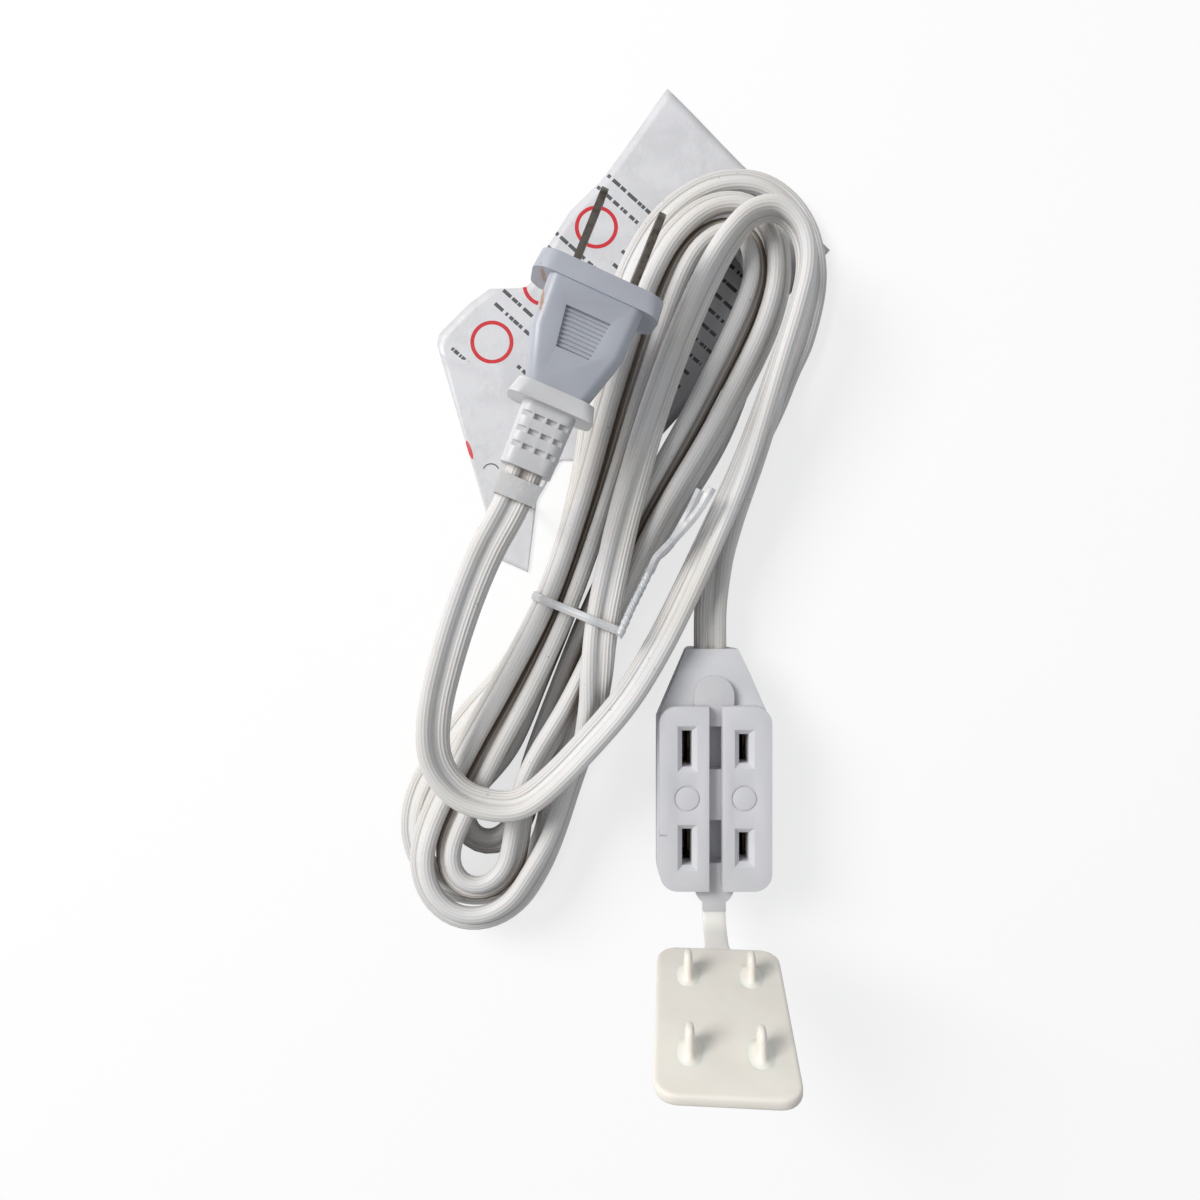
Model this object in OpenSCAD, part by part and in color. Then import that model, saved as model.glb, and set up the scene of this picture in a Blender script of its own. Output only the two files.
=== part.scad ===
// Flat-cord household extension cord: a polarised plug, a hank of flat twin cord held by
// a twist tie, and a three-outlet tap with a tethered safety cover.
// The origin is the centre of the tap's back face: +Y towards the cord, +Z out of the
// outlet face.

/* [Tap] */
// Width of the tap
tap_w = 25.4; // [24:0.2:32]
// Length of the tap, from its closed end to the cord
tap_len = 53.5; // [52:0.5:64]
// Thickness of the tap, from its back face to its outlet face
tap_t = 20; // [19:0.5:24]
// Width of the neck where the cord enters
neck_w = 12; // [11:0.5:15]
// Length over which the neck widens to the full width
neck_len = 15.5; // [14:0.5:18]
// Radius of the two corners at the closed end
corner_r = 4; // [1:0.5:6]
// How far the back face is drawn in at each side
back_inset = 1.3; // [0.2:0.1:2]
// Thickness of the outer walls
wall = 1.8; // [1.4:0.1:2.4]
// Height of the two raised outlet pads
pad_h = 4.5; // [3.5:0.1:5.5]
// Length of the raised outlet pads
pad_len = 41; // [39:0.5:42]
// Radius of the pads' outer corners at the neck
pad_r = 3.8; // [1:0.2:5]
// Width of the channel between the pads
channel_w = 3; // [2:0.2:4]

/* [Outlets] */
// Distance between the two slots of an outlet
blade_pitch = 12.7; // [12.7:0.1:12.9]
// Distance between the two outlets on the front
outlet_pitch = 21.9; // [21:0.1:23]
// Place of the middle of the outlets along the tap
outlet_y = -6.1; // [-6.6:0.1:-5.6]
// Width of the slots
slot_w = 2.2; // [1.8:0.1:2.6]
// Length of the wide slot, for the neutral blade
neutral_slot = 8.1; // [8:0.1:8.8]
// Length of the narrow slot, for the line blade
line_slot = 6.5; // [6.5:0.1:7]
// Depth and width of the sloped lead-in round each slot
lead_in = 1.1; // [0.5:0.1:1.3]
// Radius of the round marks between the outlets
mark_r = 2.9; // [2:0.1:4]
// Thickness of the contact strips
contact_t = 0.5; // [0.4:0.05:0.7]
// Height of the contact strips
contact_h = 6.5; // [5:0.1:7]
// Gap between the two leaves of a contact
contact_gap = 1.5; // [1.3:0.1:1.6]

/* [Safety cover] */
// Width of the cover plate
cover_w = 25.5; // [22:0.5:30]
// Length of the cover plate
cover_len = 42.2; // [40:0.2:46]
// Thickness of the cover plate
cover_t = 2.2; // [1.5:0.1:3]
// Distance from the plate's tethered edge to its first prongs
prong_inset = 9.6; // [8:0.2:11]
// Length of the prongs
prong_h = 6.2; // [4:0.1:6.5]
// Width of a prong where it leaves the plate
prong_w = 5.2; // [4:0.1:5.4]
// Thickness of a prong where it leaves the plate
prong_t = 1.7; // [1.2:0.1:1.9]
// Width of the tether
tether_w = 5.2; // [3:0.2:7]
// Thickness of the tether
tether_t = 1.2; // [0.8:0.1:1.6]
// Width of the strap under the pads
strap_w = 7; // [6:0.2:7.6]
// Width of the strap's round ends
tab_w = 9; // [8.4:0.2:10]
// Thickness of the strap
strap_t = 1.6; // [1:0.1:2]
// Length of the two windows in the strap
window_len = 9.7; // [6:0.1:10.5]
// Width of the two windows in the strap
window_w = 4.4; // [3:0.2:4.6]
// Angle that the cover stands open from its closed place
cover_open = 102; // [60:0.5:120]
// Sideways lean of the open cover
cover_lean = -5; // [-10:0.2:10]

/* [Plug] */
// How far the plug leans about its own axis, in degrees
plug_roll = 8; // [-10:1:10]
// Length of the plug's flange along the blades
flange_t = 4.2; // [3.6:0.1:6]
// Width of the flange
flange_w = 27.5; // [25:0.5:32]
// Height of the flange
flange_h = 15; // [15:0.5:20]
// Length of the tapered grip
grip_len = 20.8; // [20:0.2:24]
// Width of the grip at the flange
grip_w = 20.5; // [19.5:0.5:24]
// Height of the grip at the flange
grip_h = 14.5; // [12.5:0.5:15]
// Width of the grip at the collar
grip_tail_w = 13.5; // [13:0.5:16]
// Height of the grip at the collar
grip_tail_h = 11; // [10.5:0.5:13]
// Depth of the ribbed finger panels
panel_depth = 0.8; // [0.4:0.1:1]
// Number of ribs in a finger panel
panel_ribs = 9; // [5:1:10]
// Length of the collar behind the grip
collar_len = 3.5; // [2:0.1:5]
// Width of the collar
collar_w = 18.5; // [16:0.5:20]
// Length of the strain relief sleeve
sleeve_len = 13.3; // [12:0.1:18]
// Width of the sleeve
sleeve_w = 11.5; // [10:0.1:13]
// Height of the sleeve
sleeve_h = 8.2; // [7:0.1:10]
// Width of the neutral blade
neutral_blade = 7.94; // [7.9:0.01:8]
// Width of the line blade
line_blade = 6.35; // [6.2:0.01:6.4]
// Thickness of the blades
blade_t = 1.5; // [1.4:0.02:1.6]
// Length of the blades beyond the flange
blade_len = 17.4; // [15.9:0.1:18.2]
// Radius of the hole in each blade
blade_hole_r = 1.6; // [1.4:0.1:1.8]

/* [Cord and tie] */
// Width of the flat twin cord
cord_w = 7.6; // [7:0.1:7.8]
// Thickness of the flat twin cord
cord_t = 3.8; // [3.4:0.1:3.8]
// Radius of the bare strands of one conductor
strand_r = 0.85; // [0.6:0.05:0.9]
// Width of the twist tie
tie_w = 1.9; // [1.5:0.1:4]
// Thickness of the twist tie
tie_t = 0.35; // [0.3:0.05:0.4]
// Radius of the twisted end of the tie
twist_r = 1.2; // [0.8:0.1:1.5]

/* [Tag] */
// Thickness of the tag
tag_t = 0.3; // [0.2:0.05:0.4]
// Width of the band that holds the tag on the cord
band_w = 4.5; // [3:0.1:5]
// Thickness of the band
band_t = 0.4; // [0.3:0.05:0.6]

/* [Hidden] */
$fn = 48;
eps = 0.01;
fit = 0.05;             // clearance round pieces that are clamped or moulded in
slide = 0.2;            // clearance round the strap and under the closed cover

// Tap: levels and places
half_len = tap_len/2;
split_z = 9.5;                              // joint between the shells, and the cord's axis
deck_z = tap_t - pad_h;                     // face of the body between and beyond the pads
pad_top_y = pad_len - half_len;
neck_slope_y = half_len - 5.4;              // where the front of the neck starts to slope
neck_slope = 23;
back_r = 1.5;
contact_z = split_z - 4;
slot_x = blade_pitch/2;
front_rows = [outlet_y - outlet_pitch/2, outlet_y + outlet_pitch/2];
all_rows = [front_rows[0], outlet_y, front_rows[1]];
thin_wall = 0.9;
pocket_in = window_w/2 + thin_wall;
leaf_out = contact_gap/2 + contact_t;       // outer face of a leaf, from the slot's centre
pocket_out = slot_x + leaf_out + 1.2;
pocket_end = front_rows[0] - neutral_slot/2 - 0.7;
floor_z = wall;
roof_z = deck_z - 1.7;
rib_t = 1.2;
leaf_len = 8;
window_depth = 2.2;
window_gap = 0.65;                          // from the outlets' middle lines to the windows

// Twin cord: one conductor lies at each side of its axis
lobe_r = cord_t/2;
lobe_x = (cord_w - cord_t)/2;
core_r = lobe_r - fit;

// Crimps and split ends in the tap
crimp_r = strand_r + 0.6;
crimp_bore = strand_r + fit;
crimp_x = slot_x + leaf_out - contact_t - crimp_r + 0.35;
crimp_y = [front_rows[1] + 6.3, front_rows[1] + 9.5];
bend_y = crimp_y[1] + 6;                    // where the cord's two cores start to part
bay_r = crimp_x + core_r + 0.3;

// Cover: places in its closed pose
plate_y = front_rows[0] - prong_inset;
plate_z = tap_t + slide;
hinge = [0, -half_len - 7.45, tap_t - 0.4];
strap_top_y = pad_top_y + 2.2;
strap_end_y = 0.35 - half_len;
tongue_y = -half_len - 5.4;

// Plug: places along its axis from the end of the strain relief
collar_y = sleeve_len;
grip_y = collar_y + collar_len;
flange_y = grip_y + grip_len;
face_y = flange_y + flange_t;
blade_x = slot_x;
bridge_y = flange_y - 0.6;
bridge_w = grip_w - 1.6;
bridge_h = grip_h - 3.9;
bridge_back = 0.5;                          // how far the bridge lies behind the flange's face
crimp_in = blade_t/2;                       // crimps lie inside the blades by this much
plug_crimp_x = blade_x - crimp_in;
plug_crimp_y = [bridge_y - 6.5, bridge_y - 3];
plug_bend_y = 17.5;
hole_y = face_y + 11.9;

// The hank lies in its own axes: u along it, v across it, z up
hank_centre = [-31, 35];
hank_angle = 22;
plug_start = [23.6, -20.5, 34];             // end of the strain relief
function to_part(u, v, z) = [
    hank_centre[0] + u*sin(hank_angle) + v*cos(hank_angle),
    hank_centre[1] + u*cos(hank_angle) - v*sin(hank_angle), z];

// Per turn of the hank: upper outer, upper inner, lower inner, lower outer
turns = 4;
top_reach = [102.3, 96, 97, 112];
top_arch = [24, 14, 17, 30];
top_half = [14.8, 8.8, 12.5, 22];
top_mid = [1, 1, 0.5, 3];
top_lean = [39, 37, 50, 52];                // how far the flat cord leans over in each loop
low_reach = [75.3, 68.4, 60, 72.8];
low_arch = [16, 8.5, 8, 18];
low_half = [13.3, 7.6, 7.2, 16.1];
low_mid = [0, 0, -1.6, -3];
low_lean = [40, 40, 50, 52];
// How late the runs part: at the upper end, and left and right of the lower one
top_late = 2;
left_late = [1.6, 2, 20, 2.2];
right_late = [7, 12, 12, 7];
waist = [7.9, 2.95, 2.95, 7.9];
waist_lean = [28, 28, 25, 25];
level = [12.5, 12.5, 4.4, 4.4];
settle = [0, 0, 0.5, 0.6];                  // how far the leaning loops sink
steps = [[0.77, 0.87], [1.66, 1.84], [2.56, 2.72]];   // turns over which each change is made
run_share = 0.34;                           // share of a half turn in each straight run
run_rings = 3;
arch_rings = 6;
half_rings = 2*run_rings + arch_rings;
first_ring = run_rings;                     // the hank starts where its lower run ends
last_ring = (2*turns - 1)*half_rings + run_rings + arch_rings;
on_edge = 90;
min_gap = 0.4;

function smooth(x) = let(c = max(0, min(1, x))) c*c*(3 - 2*c);
function swell(x, late) = pow(sin(90*x), late);
function value(list, t) = list[0] + chain(list, t, 0);
function chain(list, t, k) = k >= len(steps) ? 0 :
    (list[k + 1] - list[k])*smooth((t - steps[k][0])/(steps[k][1] - steps[k][0]))
    + chain(list, t, k + 1);

// Place of one ring: half turns run from waist to waist, the first one round the low end
function ring_share(k) = k <= run_rings ? run_share*k/run_rings :
    k <= run_rings + arch_rings ?
        run_share + (1 - 2*run_share)*(k - run_rings)/arch_rings :
        1 - run_share*(half_rings - k)/run_rings;
function hank_point(i) =
    let(half = floor(i/half_rings), q = ring_share(i - half*half_rings),
        t = (half + q)/2 - 0.25, top = half % 2 == 1,
        reach = value(top ? top_reach : low_reach, t),
        arch = value(top ? top_arch : low_arch, t),
        wide = value(top ? top_half : low_half, t),
        mid = value(top ? top_mid : low_mid, t),
        lean = value(top ? top_lean : low_lean, t),
        near = value(waist, t),
        upright = value(waist_lean, t),
        way = top ? 1 : -1,
        side = (q < 0.5 ? -1 : 1)*way,
        f = min(q, 1 - q)/run_share,
        turn = 180*(q - run_share)/(1 - 2*run_share),
        late = top ? top_late : value(side < 0 ? left_late : right_late, t),
        grown = f < 1 ? swell(f, late) : 1,
        u = f < 1 ? (reach - arch)*f : reach - arch + arch*sin(turn),
        v = f < 1 ? side*near + (side*wide + mid - side*near)*grown :
            mid - way*wide*cos(turn))
    [way*u, v, value(level, t) - value(settle, t)*grown,
        on_edge - upright - (lean - upright)*grown];

// Route of the plug's lead: u, v, z and the roll of the flat cord about its own axis
plug_route = [
    [23.6, -20.5, 34, plug_roll], [16, -20.5, 34, plug_roll], [6, -22, 32, 9],
    [-7, -22.6, 28.5, 12],
    [-20, -22, 25.6, 15], [-31, -20.6, 23.6, 20], [-40, -17.5, 22.1, 30],
    [-45, -12.5, 21.2, 40], [-47, -6, 20.8, 48], [-46, 0, 20.8, 48], [-43, 5, 21.4, 45],
    [-36, 8.8, 22.4, 45], [-26, 12.8, 23, 45], [-14, 17, 22, 45], [0, 19.8, 18, 45],
    [14, 21.2, 15, 45], [28, 22, 14.2, 50], [42, 22.5, 14.6, 60], [56, 22, 16.1, 75],
    [70, 21, 18.1, 85], [82, 20, 19.8, 90], [91, 18.3, 20.8, 90], [97, 14.5, 21.1, 90],
    [99.5, 8.5, 21.2, 85], [97, 3.5, 21.2, 75], [90, 0.5, 21.1, 60], [80, -1, 20.9, 50],
    [66, -1.5, 20.6, 45], [50, -1, 20.2, 40], [34, 0.5, 19.8, 30], [16, 3, 19.2, 15],
    [0, 6.2, 19, 5], [-10, 9, 18.6, 20], [-19, 11.5, 16.2, 45], [-28, 12.8, 13.6, 65],
    [-38, 13.3, 12.5, 65], [-47.5, 14, 12.5, 65]];
// Route of the tap's lead, from the hank down to the neck of the tap
tap_route = [[74, 25, 4, 48], [62, 25.6, 4.3, 72], [48, 25.5, 4.4, 105],
    [35, 25.3, 4.8, 135], [24, 26, 6.4, 160]];
neck_run = 8;
function in_part(list) = [for (p = list) concat(to_part(p[0], p[1], p[2]), p[3])];
route = concat(
    in_part(plug_route),
    in_part([for (i = [first_ring : last_ring]) hank_point(i)]),
    in_part(tap_route),
    [[0, half_len + neck_run, split_z, 180], [0, half_len, split_z, 180]]);
hank_from = len(plug_route) - 1;
hank_to = hank_from + last_ring - first_ring + 2;

// Section of the flat twin cord, across and through it
twin = [[cord_w/2, 0], [lobe_x, lobe_r], [0, 1.1], [-lobe_x, lobe_r],
    [-cord_w/2, 0], [-lobe_x, -lobe_r], [0, -1.1], [lobe_x, -lobe_r]];
square_turn = [[1, 1], [-1, 1], [-1, -1], [1, -1]];
function unit(v) = v/norm(v);
function xyz(p) = [p[0], p[1], p[2]];
function heading(points, i) = unit(
    xyz(points[min(i + 1, len(points) - 1)]) - xyz(points[max(i - 1, 0)]));
function twin_ring(points, i) =
    let(ahead = heading(points, i), side = unit(cross(ahead, [0, 0, 1])),
        up = cross(side, ahead), roll = points[i][3],
        across = side*cos(roll) + up*sin(roll),
        through = up*cos(roll) - side*sin(roll))
    [for (s = twin) xyz(points[i]) + s[0]*across + s[1]*through];
cord_rings = [for (i = [0 : len(route) - 1]) twin_ring(route, i)];
function part_of(list, a, b) = [for (i = [a : b]) list[i]];

// Least distance between points of rings that are more than a quarter turn apart
function between(rings, parts) = [for (i = [0 : len(rings) - 2], j = [0 : parts - 1])
    rings[i]*(1 - j/parts) + rings[i + 1]*(j/parts)];
function middle(ring) = (ring[0] + ring[len(ring)/2])/2;
function least_gap(rings, skip) =
    let(mids = [for (r = rings) middle(r)])
    min([for (i = [0 : len(rings) - 1], j = [i + skip : 1 : len(rings) - 1])
        if (norm(mids[i] - mids[j]) < cord_w + 1)
        for (a = rings[i], b = rings[j]) norm(a - b)]);

// A solid through rings of points, closed at both ends
module sweep(rings) {
    n = len(rings[0]);
    last = (len(rings) - 1)*n;
    polyhedron(
        points = [for (r = rings) each r],
        faces = concat(
            [for (i = [0 : len(rings) - 2], j = [0 : n - 1])
                [i*n + j, i*n + (j + 1) % n, (i + 1)*n + (j + 1) % n]],
            [for (i = [0 : len(rings) - 2], j = [0 : n - 1])
                [i*n + j, (i + 1)*n + (j + 1) % n, (i + 1)*n + j]],
            [for (j = [3 : n]) [2, (j + 1) % n, j % n]],
            [for (j = [3 : n]) [last + 2, last + j % n, last + (j + 1) % n]]));
}

// A round tube through points [x, y, z, radius], with its first and last ends square
module round_sweep(points, sides = 12) {
    sweep([for (i = [0 : len(points) - 1])
        let(ahead = heading(points, i), side = unit(cross(ahead, [0, 0, 1])),
            up = cross(side, ahead))
        [for (k = [0 : sides - 1])
            xyz(points[i]) + points[i][3]*(side*cos(360*k/sides) + up*sin(360*k/sides))]]);
}

function arc(centre, r, from, to, n = 8) =
    [for (i = [0 : n]) let(a = from + (to - from)*i/n) centre + r*[cos(a), sin(a)]];

// Outline of the tap, drawn in by the inset on every side
module tap_outline(inset = 0) {
    w = tap_w/2 - inset;
    end = half_len - inset;
    shoulder = half_len - neck_len;
    polygon(concat(
        [[neck_w/2 - inset, half_len], [w, shoulder]],
        arc([w - corner_r, corner_r - end], corner_r, 0, -90),
        arc([corner_r - w, corner_r - end], corner_r, -90, -180),
        [[-w, shoulder], [inset - neck_w/2, half_len]]));
}

module rounded(w, l, r) {
    polygon(concat(
        arc([w/2 - r, l/2 - r], r, 0, 90), arc([r - w/2, l/2 - r], r, 90, 180),
        arc([r - w/2, r - l/2], r, 180, 270), arc([w/2 - r, r - l/2], r, 270, 360)));
}

// A slot with its sloped lead-in, cut down from z = 0
module slot(length, depth) {
    translate([0, 0, -depth/2 + eps]) cube([slot_w, length, depth], center = true);
    sweep([for (s = [[-lead_in, 0], [eps, lead_in]])
        [for (c = square_turn)
            [-c[0]*(slot_w/2 + s[1]), c[1]*(length/2 + s[1]), s[0]]]]);
}

// Bays for the contacts, with ribs that carry them between the outlets
module contact_bays(z0, z1, rib_z0, rib_z1) {
    for (side = [-1, 1]) difference() {
        translate([side*(pocket_in + pocket_out)/2 - (pocket_out - pocket_in)/2,
            pocket_end, z0])
            cube([pocket_out - pocket_in, crimp_y[1] + 0.6 - pocket_end, z1 - z0]);
        for (y = [outlet_y - outlet_pitch/4, outlet_y + outlet_pitch/4])
            translate([side*(pocket_in + pocket_out)/2, y, (rib_z0 + rib_z1)/2])
                cube([pocket_out - pocket_in + 1, rib_t, rib_z1 - rib_z0], center = true);
    }
}

// Bay where the cord's cores part, and the bores that hold them in the neck
module cord_bay() {
    translate([-bay_r, crimp_y[0] - 0.4, split_z - core_r - 0.4])
        cube([2*bay_r, bend_y - crimp_y[0] + 0.4, 2*core_r + 0.8]);
    for (side = [-1, 1])
        translate([side*lobe_x, bend_y - eps, split_z])
            rotate([-90, 0, 0]) cylinder(r = lobe_r, h = half_len);
    translate([-lobe_x, bend_y - eps, split_z - 1])
        cube([2*lobe_x, half_len, 2]);
}

module tap_back_shell() color("whitesmoke") difference() {
    hull() {
        linear_extrude(eps) tap_outline(back_inset + back_r*0.6);
        translate([0, 0, back_r]) linear_extrude(eps) tap_outline(back_inset);
        translate([0, 0, split_z - eps]) linear_extrude(eps) tap_outline();
    }
    contact_bays(floor_z, split_z + eps, floor_z - eps, contact_z);
    cord_bay();
    for (side = [-1, 1])
        translate([side*slot_x, outlet_y, 0]) rotate([180, 0, 0])
            slot(side < 0 ? neutral_slot : line_slot, floor_z + 1);
}

// The raised outlet pads, cut by the channel between them
module pads() {
    inset = 0.2;
    w = tap_w/2 - inset;
    difference() {
        translate([0, 0, deck_z - eps]) linear_extrude(pad_h + eps) polygon(concat(
            arc([w - pad_r, pad_top_y - pad_r], pad_r, 90, 0),
            arc([w - corner_r, corner_r - half_len], corner_r, 0, -90),
            arc([corner_r - w, corner_r - half_len], corner_r, -90, -180),
            arc([pad_r - w, pad_top_y - pad_r], pad_r, 180, 90)));
        translate([-channel_w/2, -tap_len, deck_z]) cube([channel_w, 2*tap_len, tap_t]);
    }
}

module tap_front_shell() color("whitesmoke") difference() {
    union() {
        translate([0, 0, split_z]) linear_extrude(deck_z - split_z) tap_outline();
        pads();
    }
    translate([-tap_w, neck_slope_y, deck_z]) rotate([-neck_slope, 0, 0])
        cube([2*tap_w, tap_len, tap_t]);
    contact_bays(split_z - eps, roof_z, contact_z + contact_h, roof_z + eps);
    cord_bay();
    translate([0, 0, deck_z]) linear_extrude(strap_t + slide) strap_outline(slide);
    for (y = window_rows) translate([-window_w/2, y, deck_z - window_depth])
        cube([window_w, window_len, window_depth + eps]);
    for (side = [-1, 1]) {
        for (y = front_rows) translate([side*slot_x, y, tap_t])
            slot(side < 0 ? neutral_slot : line_slot, tap_t - roof_z + 1);
        translate([side*slot_x, outlet_y, tap_t - 0.25]) difference() {
            cylinder(r = mark_r, h = 1);
            translate([0, 0, -eps]) cylinder(r = mark_r - 0.35, h = 1 + 2*eps);
        }
    }
}

// The strap that lies under the pads, with a round stop at each end
window_rows = [front_rows[1] - window_len/2 - window_gap + 0.5,
    front_rows[0] - window_len/2 + window_gap];
module strap_outline(gap = 0) {
    r = tab_w/2 + gap;
    translate([-strap_w/2 - gap, strap_end_y]) square([strap_w + 2*gap,
        strap_top_y - strap_end_y]);
    for (end = [[strap_top_y, -1], [strap_end_y, 1]]) {
        translate([0, end[0]]) circle(r = r);
        translate([-r, end[0] + (end[1] < 0 ? -4.2 - gap : 0)]) square([2*r, 4.2 + gap]);
    }
    translate([-tether_w/2 - gap, tongue_y]) square([tether_w + 2*gap,
        strap_end_y - tongue_y]);
}

module cover_strap() color("whitesmoke") translate([0, 0, deck_z])
    linear_extrude(strap_t) difference() {
        strap_outline();
        for (y = window_rows) translate([-window_w/2, y]) square([window_w, window_len]);
    }

// Places of the closed cover carried to where it stands open
function turned(p) =
    let(q = p - hinge, a = cover_open, b = cover_lean,
        y = q[1]*cos(a) - q[2]*sin(a), z = q[1]*sin(a) + q[2]*cos(a))
    hinge + [q[0]*cos(b) + z*sin(b), y, z*cos(b) - q[0]*sin(b)];
function mix(a, b, f) = a*(1 - f) + b*f;
function bezier(p, f) = mix(mix(mix(p[0], p[1], f), mix(p[1], p[2], f), f),
    mix(mix(p[1], p[2], f), mix(p[2], p[3], f), f), f);

module cover_tether() color("ivory") {
    start = [0, tongue_y, deck_z + strap_t/2];
    plate_mid = plate_z + cover_t/2;
    path = [start, start - [0, 4.5, 0], turned([0, plate_y - 5, plate_mid]),
        turned([0, plate_y, plate_mid])];
    lateral = turned([1, plate_y, plate_mid]) - path[3];
    steps_n = 10;
    sweep([for (i = [0 : steps_n])
        let(f = i/steps_n, here = bezier(path, f),
            ahead = unit(i == 0 ? [0, -1, 0] : i == steps_n ? path[3] - path[2] :
                bezier(path, f + 0.02) - bezier(path, f - 0.02)),
            side = unit(mix([1, 0, 0], lateral, f)),
            up = unit(cross(ahead, side)))
        [for (s = square_turn) here - s[0]*tether_w/2*side + s[1]*tether_t/2*up]]);
}

module prong() hull() {
    tip_t = prong_t - 0.6;
    tip_w = prong_w - 2.4;
    translate([-prong_t/2, -prong_w/2, -eps]) cube([prong_t, prong_w, 2*eps]);
    translate([-tip_t/2, -tip_w/2, -prong_h]) cube([tip_t, tip_w, eps]);
}

module cover_plate() color("ivory")
    translate(hinge) rotate([0, cover_lean, 0]) rotate([cover_open, 0, 0])
    translate(-hinge) {
        edge = 0.4;
        translate([0, plate_y + cover_len/2, plate_z]) hull() {
            translate([0, 0, edge]) linear_extrude(cover_t - 2*edge)
                rounded(cover_w, cover_len, 4);
            linear_extrude(cover_t) rounded(cover_w - 2*edge, cover_len - 2*edge, 4 - edge);
        }
        for (x = [-slot_x, slot_x], y = front_rows)
            translate([x, y, plate_z]) prong();
    }

// Contact: a strip beside the slots, folded back on itself at each outlet
module contact(side) {
    strip_x = contact_gap/2;
    translate([side*slot_x, 0, contact_z]) mirror([side < 0 ? 1 : 0, 0, 0]) difference() {
        union() {
            translate([strip_x, all_rows[0] - leaf_len/2, 0])
                cube([contact_t, crimp_y[1] - all_rows[0] + leaf_len/2, contact_h]);
            for (y = all_rows) {
                translate([-leaf_out, y - leaf_len/2, 0])
                    cube([contact_t, leaf_len - 1, contact_h]);
                translate([-leaf_out, y - leaf_len/2 - contact_t, 0])
                    cube([2*leaf_out, contact_t + eps, contact_h]);
            }
            translate([crimp_x - slot_x, crimp_y[0], split_z - contact_z])
                rotate([-90, 0, 0]) cylinder(r = crimp_r, h = crimp_y[1] - crimp_y[0]);
        }
        translate([crimp_x - slot_x, crimp_y[0] - 1, split_z - contact_z])
            rotate([-90, 0, 0]) cylinder(r = crimp_bore, h = crimp_y[1] - crimp_y[0] + 2);
    }
}
module contact_neutral() color("goldenrod") contact(-1);
module contact_line() color("goldenrod") contact(1);

// One insulated conductor inside the tap, bare where the crimp holds it
module tap_core(side) {
    bare_y = crimp_y[1] + 0.5;
    round_sweep([
        [side*lobe_x, half_len, split_z, core_r],
        [side*lobe_x, bend_y, split_z, core_r],
        [side*mix(lobe_x, crimp_x, 0.2), mix(bend_y, bare_y, 0.3), split_z, core_r],
        [side*mix(lobe_x, crimp_x, 0.8), mix(bend_y, bare_y, 0.7), split_z, core_r],
        [side*crimp_x, bare_y + 0.7, split_z, core_r],
        [side*crimp_x, bare_y, split_z, core_r],
        [side*crimp_x, bare_y - eps, split_z, strand_r],
        [side*crimp_x, crimp_y[0], split_z, strand_r]]);
}
module core_neutral_tap() color("white") tap_core(-1);
module core_line_tap() color("white") tap_core(1);

module cord_plug_lead() color("white") sweep(part_of(cord_rings, 0, hank_from));
module cord_hank() color("white") {
    rings = part_of(cord_rings, hank_from, hank_to);
    gap = least_gap(between(rings, 4), 4*(run_rings + 3));
    echo(least_gap_of_hank = gap, enough = gap > min_gap);
    sweep(rings);
}
module cord_tap_lead() color("white")
    sweep(part_of(cord_rings, hank_to, len(cord_rings) - 1));

// The plug's own axes: x across, y along the blades, z up
module at_plug() translate(to_part(plug_start[0], plug_start[1], plug_start[2]))
    rotate([0, 0, -hank_angle]) rotate([0, plug_roll, 0]) children();

// An upright rounded block from y0 to y1 that may change in width and height
module block(y0, w0, h0, y1, w1, h1, r) hull() {
    translate([0, y0, 0]) rotate([90, 0, 0]) translate([0, 0, -eps])
        linear_extrude(eps) rounded(w0, h0, r);
    translate([0, y1, 0]) rotate([90, 0, 0]) linear_extrude(eps) rounded(w1, h1, r);
}

// Bores for the twin cord and the hollow where its cores part
module plug_core_space() {
    for (side = [-1, 1]) translate([side*lobe_x, -1, 0]) rotate([-90, 0, 0])
        cylinder(r = lobe_r, h = plug_bend_y + 1);
    translate([-lobe_x, -1, -1]) cube([2*lobe_x, plug_bend_y + 1, 2]);
}

module plug_strain_relief() color("whitesmoke") at_plug() difference() {
    row_y = 3.2;
    rows = 3;
    windows = 4;
    window = [2.15, 1.15, 0.7];
    union() {
        block(0, sleeve_w - 0.6, sleeve_h - 0.6, sleeve_len, sleeve_w, sleeve_h, 2.5);
        block(collar_y, collar_w, grip_tail_h + 1.6, grip_y, collar_w - 2,
            grip_tail_h + 0.8, 3);
    }
    plug_core_space();
    for (row = [1 : rows], k = [0 : windows - 1], face = [-1, 1])
        translate([(k - (windows - 1)/2)*(window[0] + 0.55), sleeve_len + 0.4 - row*row_y,
            face*(sleeve_h/2 - 0.15)])
            cube([window[0], window[1], 2*window[2]], center = true);
}

// Outline of the finger panel, wider towards the flange
module panel_outline() {
    y = [flange_y - 13, flange_y - 4.8];
    w = [7.2, 9.5];
    polygon([[-w[0]/2, y[0]], [w[0]/2, y[0]], [w[1]/2, y[1]], [-w[1]/2, y[1]]]);
}

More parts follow.
